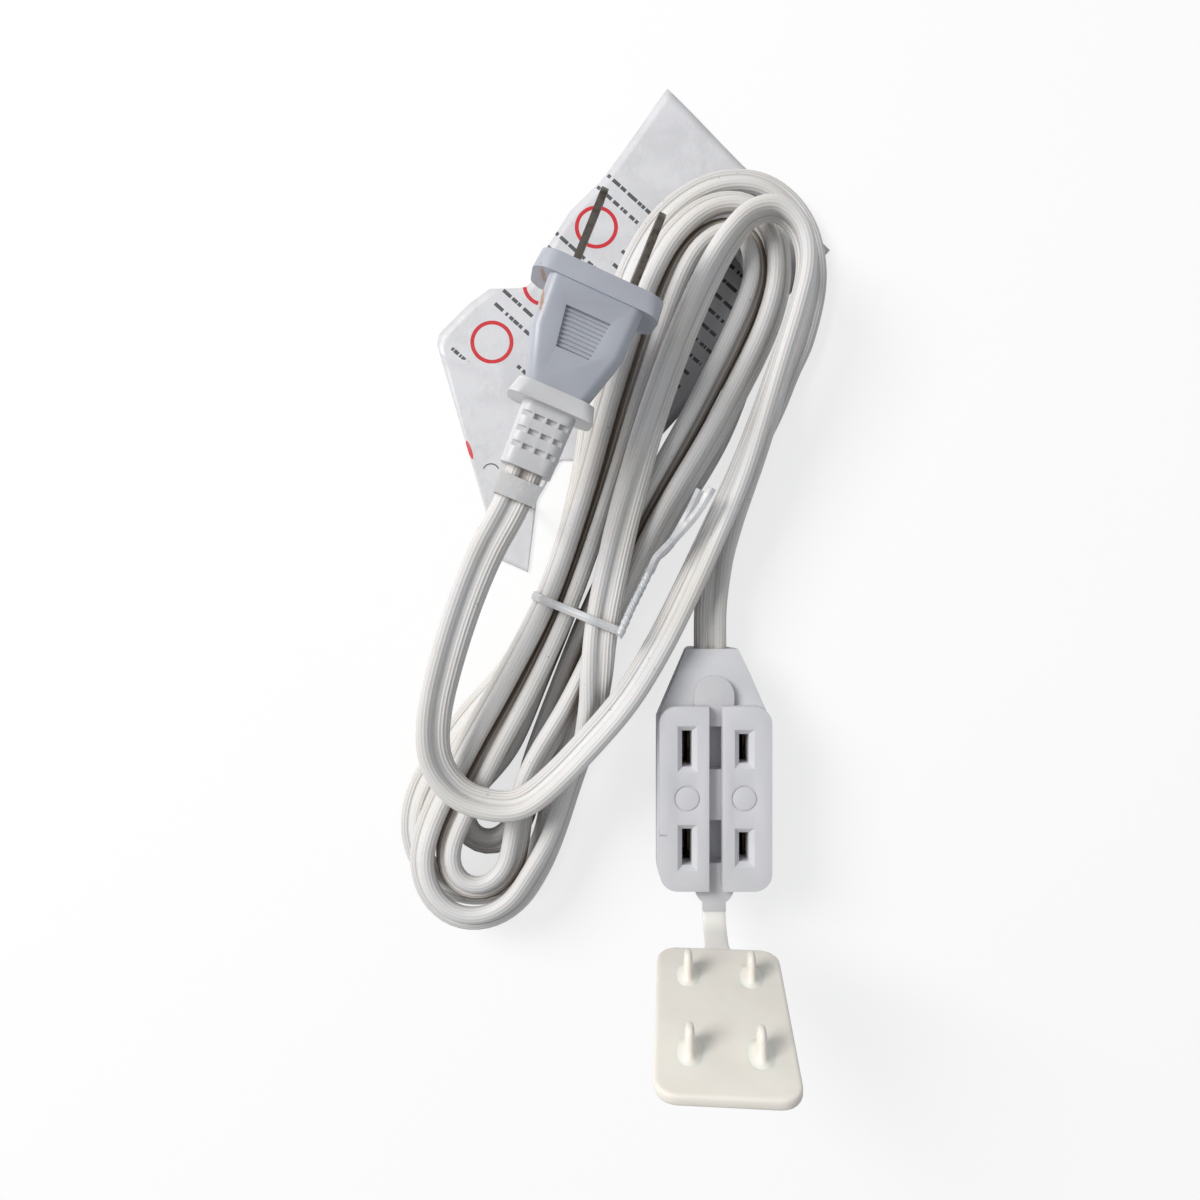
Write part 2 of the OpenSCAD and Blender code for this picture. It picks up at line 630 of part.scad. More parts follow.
module plug_body() color("whitesmoke") at_plug() difference() {
    slope = atan((grip_h - grip_tail_h)/2/grip_len);
    pitch = 0.88;
    grip_edge = 2.4;
    // Where the grip has swollen to nearly its full width
    swell_y = grip_y + grip_len/2;
    swell_w = grip_w - 0.8;
    swell_h = (grip_h + grip_tail_h)/2;
    union() {
        block(grip_y, grip_tail_w, grip_tail_h, swell_y, swell_w, swell_h, grip_edge);
        block(swell_y, swell_w, swell_h, flange_y + 1, grip_w, grip_h, grip_edge);
        block(flange_y, flange_w, flange_h, face_y, flange_w - 0.8, flange_h - 0.8, 4);
    }
    for (face = [0, 180]) rotate([0, face, 0])
        translate([0, flange_y, grip_h/2 - panel_depth]) rotate([slope, 0, 0])
        translate([0, -flange_y, 0]) difference() {
            linear_extrude(3) panel_outline();
            for (k = [0 : panel_ribs - 1])
                translate([-6, flange_y - 5.4 - k*pitch, 0]) rotate([0, 90, 0])
                    cylinder(r = 0.3, h = 12, $fn = 16);
        }
    // Hollow for the crimps, and the seat of the bridge
    translate([0, 0, -core_r - 0.3]) linear_extrude(2*core_r + 0.6) polygon([
        [-lobe_x - lobe_r, grip_y - 1], [lobe_x + lobe_r, grip_y - 1],
        [plug_crimp_x + crimp_r + 0.4, plug_crimp_y[0] - 3],
        [plug_crimp_x + crimp_r + 0.4, bridge_y + 1],
        [-plug_crimp_x - crimp_r - 0.4, bridge_y + 1],
        [-plug_crimp_x - crimp_r - 0.4, plug_crimp_y[0] - 3]]);
    for (side = [-1, 1]) translate([side*blade_x - blade_t/2 - 0.2,
        plug_crimp_y[0] - 0.3, -neutral_blade/2 - 0.6])
        cube([blade_t + 0.4, flange_y - plug_crimp_y[0] + 0.3, neutral_blade + 1.2]);
    translate([-bridge_w/2 - fit, bridge_y - fit, -bridge_h/2 - fit])
        cube([bridge_w + 2*fit, flange_t + 10, bridge_h + 2*fit]);
}

module plug_bridge() color("whitesmoke") at_plug() difference() {
    translate([-bridge_w/2, bridge_y, -bridge_h/2])
        cube([bridge_w, face_y - bridge_back - bridge_y, bridge_h]);
    for (side = [-1, 1]) blade_space(side);
}
module blade_space(side) {
    w = side > 0 ? neutral_blade : line_blade;
    translate([side*blade_x - blade_t/2 - fit, bridge_y - 1, -w/2 - fit])
        cube([blade_t + 2*fit, flange_t + 20, w + 2*fit]);
}

// Blade with a shoulder behind the bridge and a crimp for the conductor
module blade(side, w) at_plug() difference() {
    tip = 1.6;
    end = face_y + blade_len;
    union() {
        translate([side*blade_x + blade_t/2, 0, 0]) rotate([0, -90, 0])
            linear_extrude(blade_t) polygon([
                [-w/2, bridge_y - fit], [-w/2 - 0.5, bridge_y - fit],
                [-w/2 - 0.5, plug_crimp_y[1] - 1], [w/2 + 0.5, plug_crimp_y[1] - 1],
                [w/2 + 0.5, bridge_y - fit], [w/2, bridge_y - fit],
                [w/2, end - tip], [w/2 - tip, end], [tip - w/2, end], [-w/2, end - tip]]);
        translate([side*blade_x - blade_t/2, plug_crimp_y[0], -crimp_r])
            cube([blade_t, plug_crimp_y[1] - plug_crimp_y[0], 2*crimp_r]);
        translate([side*plug_crimp_x, plug_crimp_y[0], 0]) rotate([-90, 0, 0])
            cylinder(r = crimp_r, h = plug_crimp_y[1] - plug_crimp_y[0]);
    }
    translate([side*plug_crimp_x, plug_crimp_y[0] - 1, 0]) rotate([-90, 0, 0])
        cylinder(r = crimp_bore, h = plug_crimp_y[1] - plug_crimp_y[0] + 1);
    translate([side*blade_x - blade_t, hole_y, 0]) rotate([0, 90, 0])
        cylinder(r = blade_hole_r, h = 2*blade_t);
}
module blade_neutral() color("darkgray") blade(1, neutral_blade);
module blade_line() color("darkgray") blade(-1, line_blade);

module plug_core(side) at_plug() {
    bare_y = plug_crimp_y[0] - 0.5;
    narrow = 0.4;
    round_sweep([
        [side*lobe_x, 0, 0, core_r],
        [side*lobe_x, plug_bend_y, 0, core_r],
        [side*mix(lobe_x, plug_crimp_x - narrow, 0.2), mix(plug_bend_y, bare_y, 0.3), 0,
            core_r],
        [side*mix(lobe_x, plug_crimp_x - narrow, 0.8), mix(plug_bend_y, bare_y, 0.7), 0,
            core_r],
        [side*(plug_crimp_x - narrow), bare_y - 0.7, 0, core_r - 0.2],
        [side*(plug_crimp_x - narrow/2), bare_y, 0, core_r - 0.2],
        [side*plug_crimp_x, bare_y + eps, 0, strand_r],
        [side*plug_crimp_x, plug_crimp_y[1] - 0.2, 0, strand_r]]);
}
module core_neutral_plug() color("white") plug_core(1);
module core_line_plug() color("white") plug_core(-1);

// Tie: a band round the waist, a knot, a twisted end and two free ends
module twist_tie() color("white") {
    band = [[-10.8, 0.4], [10.8, 0.4], [11, 9], [11.3, 17], [11.2, 20.6], [10.4, 21.4],
        [3.2, 21.4], [-8.4, 16.5], [-10.9, 11.5]];
    centre = [0, 10];
    knot_r = 1.7;
    translate(concat(hank_centre, 0)) rotate([0, 0, -hank_angle]) {
        translate([0, tie_w/2, 0]) rotate([90, 0, 0]) linear_extrude(tie_w) difference() {
            polygon([for (p = band) p + tie_t*unit(p - centre)]);
            polygon(band);
        }
        round_sweep([[10.6, -0.5, 22.8, knot_r], [10.7, 2.5, 22.8, knot_r],
            [10.8, 4, 21.6, twist_r], [11.2, 9, 19.4, twist_r], [11.6, 14, 18.6, twist_r]], 8);
        for (end = [[[11.6, 14, 18.9], [13.4, 22, 19.6], [16.2, 30, 20.2], [17.5, 37, 21]],
            [[11.6, 14, 18.1], [13.6, 22, 18.4], [14.8, 30, 18.2], [15.2, 36, 18.6]]])
            free_end(end);
    }
}
module free_end(points) sweep([for (i = [0 : len(points) - 1])
    let(ahead = heading(points, i), side = unit(cross(ahead, [0, 0, 1])),
        up = cross(side, ahead))
    [for (s = square_turn) points[i] + s[0]*tie_w/2*side + s[1]*tie_t/2*up]]);

// Tag: a wide strip folded across, that narrows towards the cord
module tag() color("white") linear_extrude(tag_t) polygon([
    [-9.4, 162.3], [-65.6, 100.4], [-57, 71], [-50.2, 47.8], [-43.4, 44.8],
    [-41.2, 62.5], [-35.5, 72.2], [-16.9, 71.4], [30.5, 123.6]]);

// Band round the cord beside the plug, with the narrow neck that drops to the tag
module tag_band() color("white") at_plug() {
    gap = 0.3;
    drop_x = -0.6;
    neck = 4;
    translate([0, -2, 0]) rotate([90, 0, 0]) linear_extrude(band_w) difference() {
        square([cord_w + 2*(gap + band_t), cord_t + 2*(gap + band_t)], center = true);
        square([cord_w + 2*gap, cord_t + 2*gap], center = true);
    }
    rotate([0, -plug_roll, 0])
        translate([drop_x - neck/2, -2 - band_w/2, tag_t - plug_start[2]])
        cube([neck, band_t, plug_start[2] - tag_t - cord_t/2 - gap - band_t/2]);
}

tap_back_shell();
tap_front_shell();
contact_neutral();
contact_line();
core_neutral_tap();
core_line_tap();
cover_strap();
cover_tether();
cover_plate();
cord_tap_lead();
cord_hank();
cord_plug_lead();
twist_tie();
plug_body();
plug_bridge();
plug_strain_relief();
blade_neutral();
blade_line();
core_neutral_plug();
core_line_plug();
tag();
tag_band();
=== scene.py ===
"""Looks of the extension cord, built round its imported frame.

Lengths are written in millimetres, in the part's frame, and MM turns them into metres.
"""
import math

import bmesh
import bpy
from mathutils import Matrix, Vector, noise


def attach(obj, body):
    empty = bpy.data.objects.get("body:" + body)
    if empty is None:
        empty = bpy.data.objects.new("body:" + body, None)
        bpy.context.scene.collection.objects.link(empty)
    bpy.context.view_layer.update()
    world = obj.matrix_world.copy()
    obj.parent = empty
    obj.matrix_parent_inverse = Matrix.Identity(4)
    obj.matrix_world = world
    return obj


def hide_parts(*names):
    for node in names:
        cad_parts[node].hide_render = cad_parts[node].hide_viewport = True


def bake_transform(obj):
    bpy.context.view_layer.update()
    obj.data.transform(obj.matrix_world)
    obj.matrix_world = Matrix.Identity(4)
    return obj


MM = 0.001


# ---------------------------------------------------------------- small tools

def smooth_step(x):
    x = max(0.0, min(1.0, x))
    return x * x * (3 - 2 * x)


def add_object(name, mesh, material, body="tap"):
    obj = bpy.data.objects.new(name, mesh)
    bpy.context.collection.objects.link(obj)
    mesh.materials.clear()
    mesh.materials.append(material)
    if body:
        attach(obj, body)
    return obj


def mesh_of(name, points, faces, crease=40):
    """A smooth mesh from points in millimetres; edges sharper than crease degrees stay sharp."""
    mesh = bpy.data.meshes.new(name)
    mesh.from_pydata([Vector(p) * MM for p in points], [], faces)
    mesh.validate()
    mesh.shade_smooth()
    mesh.set_sharp_from_angle(angle=math.radians(crease))
    return mesh


def loft(rings, closed=True, caps=True):
    """Points and faces of a skin over rings that have the same number of points."""
    count = len(rings[0])
    points = [p for ring in rings for p in ring]
    last = count if closed else count - 1
    faces = []
    for i in range(len(rings) - 1):
        for j in range(last):
            k = (j + 1) % count
            faces.append((i * count + j, i * count + k, (i + 1) * count + k,
                          (i + 1) * count + j))
    if caps:
        faces.append(tuple(reversed(range(count))))
        start = (len(rings) - 1) * count
        faces.append(tuple(range(start, start + count)))
    return points, faces


def join_parts(parts):
    """One list of points and faces from several."""
    points, faces = [], []
    for more_points, more_faces in parts:
        base = len(points)
        points += list(more_points)
        faces += [tuple(base + i for i in face) for face in more_faces]
    return points, faces


def through(points, step):
    """A smooth line through points of any dimension, about step millimetres between samples."""
    points = [Vector(p) for p in points]
    ends = [2 * points[0] - points[1]] + points + [2 * points[-1] - points[-2]]
    line = []
    for i in range(1, len(ends) - 2):
        p0, p1, p2, p3 = ends[i - 1:i + 3]
        t1 = math.sqrt((p1 - p0).length)
        t2 = t1 + math.sqrt((p2 - p1).length)
        t3 = t2 + math.sqrt((p3 - p2).length)
        parts = max(1, round((p2 - p1).length / step))
        for k in range(parts):
            t = t1 + (t2 - t1) * k / parts
            a1 = p0 * ((t1 - t) / t1) + p1 * (t / t1)
            a2 = p1 * ((t2 - t) / (t2 - t1)) + p2 * ((t - t1) / (t2 - t1))
            a3 = p2 * ((t3 - t) / (t3 - t2)) + p3 * ((t - t2) / (t3 - t2))
            b1 = a1 * ((t2 - t) / t2) + a2 * (t / t2)
            b2 = a2 * ((t3 - t) / (t3 - t1)) + a3 * ((t - t1) / (t3 - t1))
            line.append(b1 * ((t2 - t) / (t2 - t1)) + b2 * ((t - t1) / (t2 - t1)))
    line.append(points[-1])
    return line


def eased(line, passes):
    """The same line with its tightest bends opened a little; both ends stay."""
    for _ in range(passes):
        line = ([line[0]] + [a * 0.25 + b * 0.5 + c * 0.25
                             for a, b, c in zip(line, line[1:], line[2:])] + [line[-1]])
    return line


def ahead_at(places, i):
    """The way a line runs at its i-th place."""
    return (places[min(i + 1, len(places) - 1)] - places[max(i - 1, 0)]).normalized()


def level_axes(ahead):
    """Sideways and upwards for something that runs ahead."""
    side = ahead.cross(Vector((0, 0, 1))).normalized()
    return side, side.cross(ahead)


def frames_along(line):
    """(place, across, through) at each point; a point's fourth number is its roll in degrees."""
    places = [Vector(p[:3]) for p in line]
    out = []
    for i, place in enumerate(places):
        side, up = level_axes(ahead_at(places, i))
        roll = math.radians(line[i][3])
        across = side * math.cos(roll) + up * math.sin(roll)
        out.append((place, across, up * math.cos(roll) - side * math.sin(roll)))
    return out


def squared_turn(k, count, power):
    """Cosine and sine of the k-th of count steps round, pressed towards a square by the power."""
    turn = 2 * math.pi * k / count
    return [math.copysign(abs(part) ** power, part) for part in (math.cos(turn), math.sin(turn))]


def bake_modifiers(obj):
    """Applies an object's modifiers to its own mesh."""
    shown = obj.evaluated_get(bpy.context.evaluated_depsgraph_get())
    mesh = bpy.data.meshes.new_from_object(shown)
    obj.modifiers.clear()
    obj.data = mesh


MERGE = 0.002                     # points of a CAD mesh that lie closer than this are one
FLAT_ANGLE = 0.6                  # faces that meet at less than this are one
MOST_CORNERS = 8                  # of a face that isn't cut into triangles
BEVEL_ANGLE, SHARP_ANGLE = 32, 28


def softened(node, name, material, edge, segments=3):
    """A piece in the shape of a CAD node, its edges rounded over by edge millimetres."""
    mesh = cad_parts[node].data.copy()
    shape = bmesh.new()
    shape.from_mesh(mesh)
    bmesh.ops.remove_doubles(shape, verts=shape.verts, dist=MERGE * MM)
    bmesh.ops.dissolve_limit(shape, angle_limit=math.radians(FLAT_ANGLE), verts=shape.verts,
                             edges=shape.edges)
    # A wide face may run round holes, and only triangles carry those safely
    wide = [face for face in shape.faces if len(face.verts) > MOST_CORNERS]
    bmesh.ops.triangulate(shape, faces=wide)
    shape.to_mesh(mesh)
    shape.free()
    obj = add_object(name, mesh, material)
    bevel = obj.modifiers.new("edges", "BEVEL")
    bevel.width = edge * MM
    bevel.segments = segments
    bevel.limit_method = "ANGLE"
    bevel.angle_limit = math.radians(BEVEL_ANGLE)
    bevel.miter_outer = "MITER_ARC"
    bake_modifiers(obj)
    obj.data.shade_smooth()
    obj.data.set_sharp_from_angle(angle=math.radians(SHARP_ANGLE))
    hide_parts(node)


# ---------------------------------------------------------------- camera and light

CAMERA_PLACE = Vector((-25.75, 38, 213))
LENS, SENSOR_W, NEAR_CLIP = 26.1, 36, 5
KEY_PLACE, KEY_AIM = Vector((-950, 600, 980)), Vector((-20, 50, 0))
KEY_SIZE, KEY_POWER, KEY_COLOUR = 700, 20.5, (1.0, 0.985, 0.96)
SKY_LEVEL, SKY_TINT = 0.42, (0.94, 0.97, 1.0, 1.0)


def make_camera():
    data = bpy.data.cameras.new("camera")
    data.lens = LENS
    data.sensor_width = SENSOR_W
    data.clip_start = NEAR_CLIP * MM
    camera = bpy.data.objects.new("camera", data)
    camera.location = CAMERA_PLACE * MM
    bpy.context.collection.objects.link(camera)
    bpy.context.scene.camera = camera


def make_key_lamp():
    """One soft lamp from the far left."""
    data = bpy.data.lights.new("key", "AREA")
    data.size = KEY_SIZE * MM
    data.energy = KEY_POWER
    data.color = KEY_COLOUR
    lamp = bpy.data.objects.new("key", data)
    lamp.location = KEY_PLACE * MM
    lamp.rotation_euler = (KEY_AIM - KEY_PLACE).to_track_quat("-Z", "Y").to_euler()
    bpy.context.collection.objects.link(lamp)


def make_world():
    """An even sky that lights the object at one level and looks white to the camera."""
    world = bpy.data.worlds.new("studio")
    bpy.context.scene.world = world
    world.use_nodes = True
    nodes, links = world.node_tree.nodes, world.node_tree.links
    nodes.clear()
    out = nodes.new("ShaderNodeOutputWorld")
    lit, seen, mix = (nodes.new("ShaderNodeBackground"), nodes.new("ShaderNodeBackground"),
                      nodes.new("ShaderNodeMixShader"))
    lit.inputs["Color"].default_value = SKY_TINT
    lit.inputs["Strength"].default_value = SKY_LEVEL
    rays = nodes.new("ShaderNodeLightPath")
    first, second = nodes.new("ShaderNodeMath"), nodes.new("ShaderNodeMath")
    first.operation = second.operation = "MAXIMUM"
    links.new(rays.outputs["Is Camera Ray"], first.inputs[0])
    links.new(rays.outputs["Is Glossy Ray"], first.inputs[1])
    links.new(first.outputs[0], second.inputs[0])
    links.new(rays.outputs["Is Transmission Ray"], second.inputs[1])
    links.new(second.outputs[0], mix.inputs[0])
    links.new(lit.outputs[0], mix.inputs[1])
    links.new(seen.outputs[0], mix.inputs[2])
    links.new(mix.outputs[0], out.inputs["Surface"])


# ---------------------------------------------------------------- materials

class Paint:
    """A material whose nodes are added by short calls."""

    def __init__(self, name):
        self.material = bpy.data.materials.new(name)
        self.material.use_nodes = True
        self.tree = self.material.node_tree
        self.shader = self.tree.nodes["Principled BSDF"]
        self.place = self.add("TexCoord").outputs["Object"]

    def add(self, kind, settings=None, **inputs):
        node = self.tree.nodes.new("ShaderNode" + kind)
        for key, value in (settings or {}).items():
            setattr(node, key, value)
        for key, value in inputs.items():
            self.put(node.inputs[key.replace("_", " ")], value)
        return node

    def put(self, socket, value):
        if isinstance(value, bpy.types.NodeSocket):
            self.tree.links.new(value, socket)
        else:
            socket.default_value = value

    def math(self, operation, a, b=0.0, clamp=False):
        node = self.add("Math", {"operation": operation, "use_clamp": clamp})
        self.put(node.inputs[0], a)
        self.put(node.inputs[1], b)
        return node.outputs[0]

    def noise(self, scale, detail=4.0, rough=0.55, place=None):
        return self.add("TexNoise", Vector=place or self.place, Scale=scale, Detail=detail,
                        Roughness=rough).outputs[0]

    def ramp(self, value, low, high):
        """value carried from low..high to 0..1."""
        node = self.add("MapRange", {"interpolation_type": "SMOOTHSTEP"}, Value=value)
        node.inputs["From Min"].default_value = low
        node.inputs["From Max"].default_value = high
        return node.outputs[0]

    def blend(self, share, a, b):
        node = self.add("Mix", {"data_type": "RGBA"})
        self.put(node.inputs[0], share)
        self.put(node.inputs[6], a)
        self.put(node.inputs[7], b)
        return node.outputs[2]

    def bump(self, height, strength, distance, under=None):
        node = self.add("Bump", Height=height)
        node.inputs["Strength"].default_value = strength
        node.inputs["Distance"].default_value = distance * MM
        if under:
            self.put(node.inputs["Normal"], under)
        return node.outputs[0]

    def spot(self, centre, reach, scale=700.0):
        """1 inside an ellipsoid round centre, in millimetres, with a ragged rim."""
        off = self.add("VectorMath", {"operation": "SUBTRACT"})
        self.put(off.inputs[0], self.place)
        self.put(off.inputs[1], Vector(centre) * MM)
        part = self.add("VectorMath", {"operation": "DIVIDE"})
        self.put(part.inputs[0], off.outputs[0])
        self.put(part.inputs[1], Vector(reach) * MM)
        size = self.add("VectorMath", {"operation": "LENGTH"})
        self.put(size.inputs[0], part.outputs[0])
        ragged = self.math("MULTIPLY", self.noise(scale, 3.0, 0.7), 1.5)
        return self.ramp(self.math("ADD", size.outputs["Value"], ragged), 1.75, 1.35)

    def finish(self, colour, roughness, normal, **constants):
        self.put(self.shader.inputs["Base Color"], colour)
        self.put(self.shader.inputs["Roughness"], roughness)
        self.put(self.shader.inputs["Normal"], normal)
        for key, value in constants.items():
            self.shader.inputs[key.replace("_", " ")].default_value = value
        return self.material


def rgb(red, green, blue):
    return (red, green, blue, 1.0)


def crevices(paint, reach):
    """1 in hollows narrower than reach millimetres, 0 in the open: where painted shade goes."""
    node = paint.add("AmbientOcclusion", {"samples": 8})
    node.inputs["Distance"].default_value = reach * MM
    return paint.math("SUBTRACT", 1.0, node.outputs["AO"], clamp=True)


def stain_and_shade_over(paint, under, share, mask, overlay_colour):
    """under with a colour laid over it where mask is 1: real stains, and painted shade."""
    return paint.blend(paint.math("MULTIPLY", mask, share), under, overlay_colour)


# Sizes of the patterns, in cells to the metre
MOTTLE, SOFT, GRAIN = 75.0, 140.0, 2600
# Painted shade in the hollows of moulded parts: its brown, how far it reaches, where it starts
PAINTED_SHADE = rgb(0.30, 0.24, 0.17)
PAINTED_SHADE_REACH, PAINTED_SHADE_START = 2.5, 0.35


def moulded(name, colour, shade, roughness, painted_shade_share=0.5, glow=0.0, marks=()):
    """Moulded plastic: faint mottling, a fine spark-eroded grain, and painted shade in its
    hollows.

    marks are stains: (centre, reach, colour, share).
    """
    paint = Paint(name)
    mottled = paint.blend(paint.ramp(paint.noise(MOTTLE), 0.35, 0.7), colour, shade)
    for centre, reach, overlay_colour, share in marks:
        mottled = stain_and_shade_over(paint, mottled, share, paint.spot(centre, reach), overlay_colour)
    # Painted shade: a brown darkening in narrow hollows
    painted_shade_mask = paint.ramp(crevices(paint, PAINTED_SHADE_REACH), PAINTED_SHADE_START, 1.0)
    colour_out = stain_and_shade_over(paint, mottled, painted_shade_share, painted_shade_mask, PAINTED_SHADE)
    fine = paint.noise(GRAIN, 2.0)
    soft = paint.noise(SOFT, 2.0)
    rough = paint.math("ADD", roughness - 0.06, paint.math("MULTIPLY", soft, 0.12))
    normal = paint.bump(fine, 0.22, 0.05, paint.bump(soft, 0.25, 0.25))
    return paint.finish(colour_out, rough, normal, Subsurface_Weight=glow,
                        Subsurface_Scale=1.5 * MM, IOR=1.46)


WHITE_VINYL, DULL_VINYL = rgb(0.675, 0.67, 0.675), rgb(0.635, 0.62, 0.595)
STREAK, SPECK = rgb(0.48, 0.44, 0.385), rgb(0.20, 0.15, 0.11)
# Darker lines between the ridges, and brown painted shade deep between the runs
GROOVE_DARK, DEEP_PAINTED_SHADE = rgb(0.34, 0.30, 0.25), rgb(0.20, 0.135, 0.08)
STREAK_SHARE, SPECK_SHARE, GROOVE_SHARE, DEEP_SHARE = 0.35, 0.4, 0.42, 0.92
DEEP_REACH, DEEP_START, DEEP_FULL = 5.5, 0.34, 0.88


def cord_vinyl():
    """White vinyl with fine lines, deeper along its neutral lobe, and painted shade between the
    runs.
    """
    paint = Paint("cord_vinyl")
    uv = paint.add("SeparateXYZ", Vector=paint.add("UVMap", {"uv_map": "run"}).outputs[0])
    around, along = uv.outputs[0], uv.outputs[1]
    neutral = paint.math("GREATER_THAN", around, 1.5)
    wave = paint.math("COSINE", paint.math("MULTIPLY", around, 2 * math.pi * RIDGES))
    wave = paint.math("MULTIPLY", paint.math("ADD", wave, 1.0), 0.5)
    faint = DRAWN / RIDGE
    ribbed = paint.math("ADD", paint.math("MULTIPLY", neutral, 1 - faint), faint)
    # Streaks run along the cord
    stretch = paint.add("CombineXYZ", X=paint.math("MULTIPLY", around, 3.0),
                        Y=along).outputs[0]
    streaks = paint.ramp(paint.noise(22.0, 3.0, place=stretch), 0.55, 0.8)
    tone = paint.blend(paint.ramp(paint.noise(38.0, 3.0), 0.4, 0.72), WHITE_VINYL, DULL_VINYL)
    tone = stain_and_shade_over(paint, tone, STREAK_SHARE, streaks, STREAK)
    specks = paint.ramp(paint.noise(900.0, 0.0), 0.83, 0.855)
    tone = stain_and_shade_over(paint, tone, SPECK_SHARE, specks, SPECK)
    # The lines between the ridges are darker, and painted shade lies thickly where runs lie close
    # together
    lines = paint.math("POWER", paint.math("SUBTRACT", 1.0, wave), 2.0)
    tone = stain_and_shade_over(paint, tone, GROOVE_SHARE, paint.math("MULTIPLY", lines, ribbed), GROOVE_DARK)
    painted_shade_mask = paint.ramp(crevices(paint, DEEP_REACH), DEEP_START, DEEP_FULL)
    tone = stain_and_shade_over(paint, tone, DEEP_SHARE, painted_shade_mask, DEEP_PAINTED_SHADE)
    rough = paint.math("ADD", 0.40, paint.math("MULTIPLY", paint.noise(220.0), 0.16))
    skin = paint.bump(paint.noise(420.0, 2.0), 0.2, 0.12)
    normal = paint.bump(paint.math("MULTIPLY", wave, ribbed), 0.75, RIDGE, skin)
    return paint.finish(tone, rough, normal, Subsurface_Weight=0.12,
                        Subsurface_Scale=1.2 * MM, IOR=1.5)


def metal(name, colour, tarnish, roughness):
    """Drawn strip metal with fine scratches and dull patches."""
    paint = Paint(name)
    stretch = paint.add("Mapping", Vector=paint.place)
    stretch.inputs["Scale"].default_value = (1.0, 0.08, 1.0)
    scratches = paint.noise(5200.0, 3.0, place=stretch.outputs[0])
    patches = paint.ramp(paint.noise(420.0, 4.0), 0.42, 0.66)
    rough = paint.math("ADD", roughness, paint.math("MULTIPLY", patches, 0.22))
    return paint.finish(paint.blend(patches, colour, tarnish), rough,
                        paint.bump(scratches, 0.25, 0.03), Metallic=1.0)


def film(name, colour, shade, clear):
    """Thin milky film with faint creases."""
    paint = Paint(name)
    creases = paint.ramp(paint.noise(160.0, 5.0, 0.7), 0.45, 0.62)
    tone = paint.blend(creases, colour, shade)
    normal = paint.bump(creases, 0.35, 0.2)
    return paint.finish(tone, paint.math("ADD", 0.3, paint.math("MULTIPLY", creases, 0.1)),
                        normal, Transmission_Weight=clear, Subsurface_Weight=0.1,
                        Subsurface_Scale=0.6 * MM)


# ---------------------------------------------------------------- the cord

CORD_W, CORD_T = 7.6, 3.8
LOBE_R = CORD_T / 2
LOBE_ARC = 292
RIDGES = 12
RIDGE, DRAWN = 0.15, 0.07       # depth of the lines on the neutral lobe and on the other one
HANK_CENTRE = (-31, 35)
HANK_ANGLE = math.radians(22)
NECK_END = 26.75
SPLIT_Z = 9.5

# The two ends of the hank. Each row has a value for each of its four turns, and late says how
# late the turn's left run (-1) and right run (1) part from the others
TOP = dict(reach=(102.3, 96, 97, 112), arch=(24, 14, 17, 30), half=(14.8, 8.8, 12.5, 22),
           mid=(1, 1, 0.5, 3), lean=(39, 37, 50, 52), way=1,
           late={-1: (2, 2, 2, 2), 1: (2, 2, 2, 2)})
LOW = dict(reach=(75.3, 68.4, 60, 72.8), arch=(16, 8.5, 8, 18), half=(13.3, 7.6, 7.2, 16.1),
           mid=(0, 0, -1.6, -3), lean=(40, 40, 50, 52), way=-1,
           late={-1: (1.6, 2, 20, 2.2), 1: (7, 12, 12, 7)})
WAIST = (7.9, 2.95, 2.95, 7.9)
WAIST_LEAN = (28, 28, 25, 25)
LEVEL = (12.5, 12.5, 4.4, 4.4)
SETTLE = (0, 0, 0.5, 0.6)
# Where along the cord one turn's values give way to the next one's
CHANGES = ((0.77, 0.87), (1.66, 1.84), (2.56, 2.72))
# A half turn is a run out, an arch and a run back
RUN_SHARE, RUN_RINGS, ARCH_RINGS = 0.34, 3, 6
HALF_RINGS = 2 * RUN_RINGS + ARCH_RINGS
FIRST_RING = RUN_RINGS
LAST_RING = 7 * HALF_RINGS + RUN_RINGS + ARCH_RINGS

# The lead of the plug: along the hank, across it, height, roll of the flat cord
PLUG_ROUTE = [
    (23.6, -20.5, 34, 8), (16, -20.5, 34, 8), (6, -22, 32, 9), (-7, -22.6, 28.5, 12),
    (-20, -22, 25.6, 15), (-31, -20.6, 23.6, 20), (-40, -17.5, 22.1, 30),
    (-45, -12.5, 21.2, 40), (-47, -6, 20.8, 48), (-46, 0, 20.8, 48), (-43, 5, 21.4, 45),
    (-36, 8.8, 22.4, 45), (-26, 12.8, 23, 45), (-14, 17, 22, 45), (0, 19.8, 18, 45),
    (14, 21.2, 15, 45), (28, 22, 14.2, 50), (42, 22.5, 14.6, 60), (56, 22, 16.1, 75),
    (70, 21, 18.1, 85), (82, 20, 19.8, 90), (91, 18.3, 20.8, 90), (97, 14.5, 21.1, 90),
    (99.5, 8.5, 21.2, 85), (97, 3.5, 21.2, 75), (90, 0.5, 21.1, 60), (80, -1, 20.9, 50),
    (66, -1.5, 20.6, 45), (50, -1, 20.2, 40), (34, 0.5, 19.8, 30), (16, 3, 19.2, 15),
    (0, 6.2, 19, 5), (-10, 9, 18.6, 20), (-19, 11.5, 16.2, 45), (-28, 12.8, 13.6, 65),
    (-38, 13.3, 12.5, 65), (-47.5, 14, 12.5, 65)]
# The lead of the tap, from the hank down to the neck
TAP_ROUTE = [(74, 25, 4, 48), (62, 25.6, 4.3, 72), (48, 25.5, 4.4, 105),
             (35, 25.3, 4.8, 135), (24, 26, 6.4, 160)]
NECK_RUN = 8
CORD_STEP, EASING = 1.8, 4


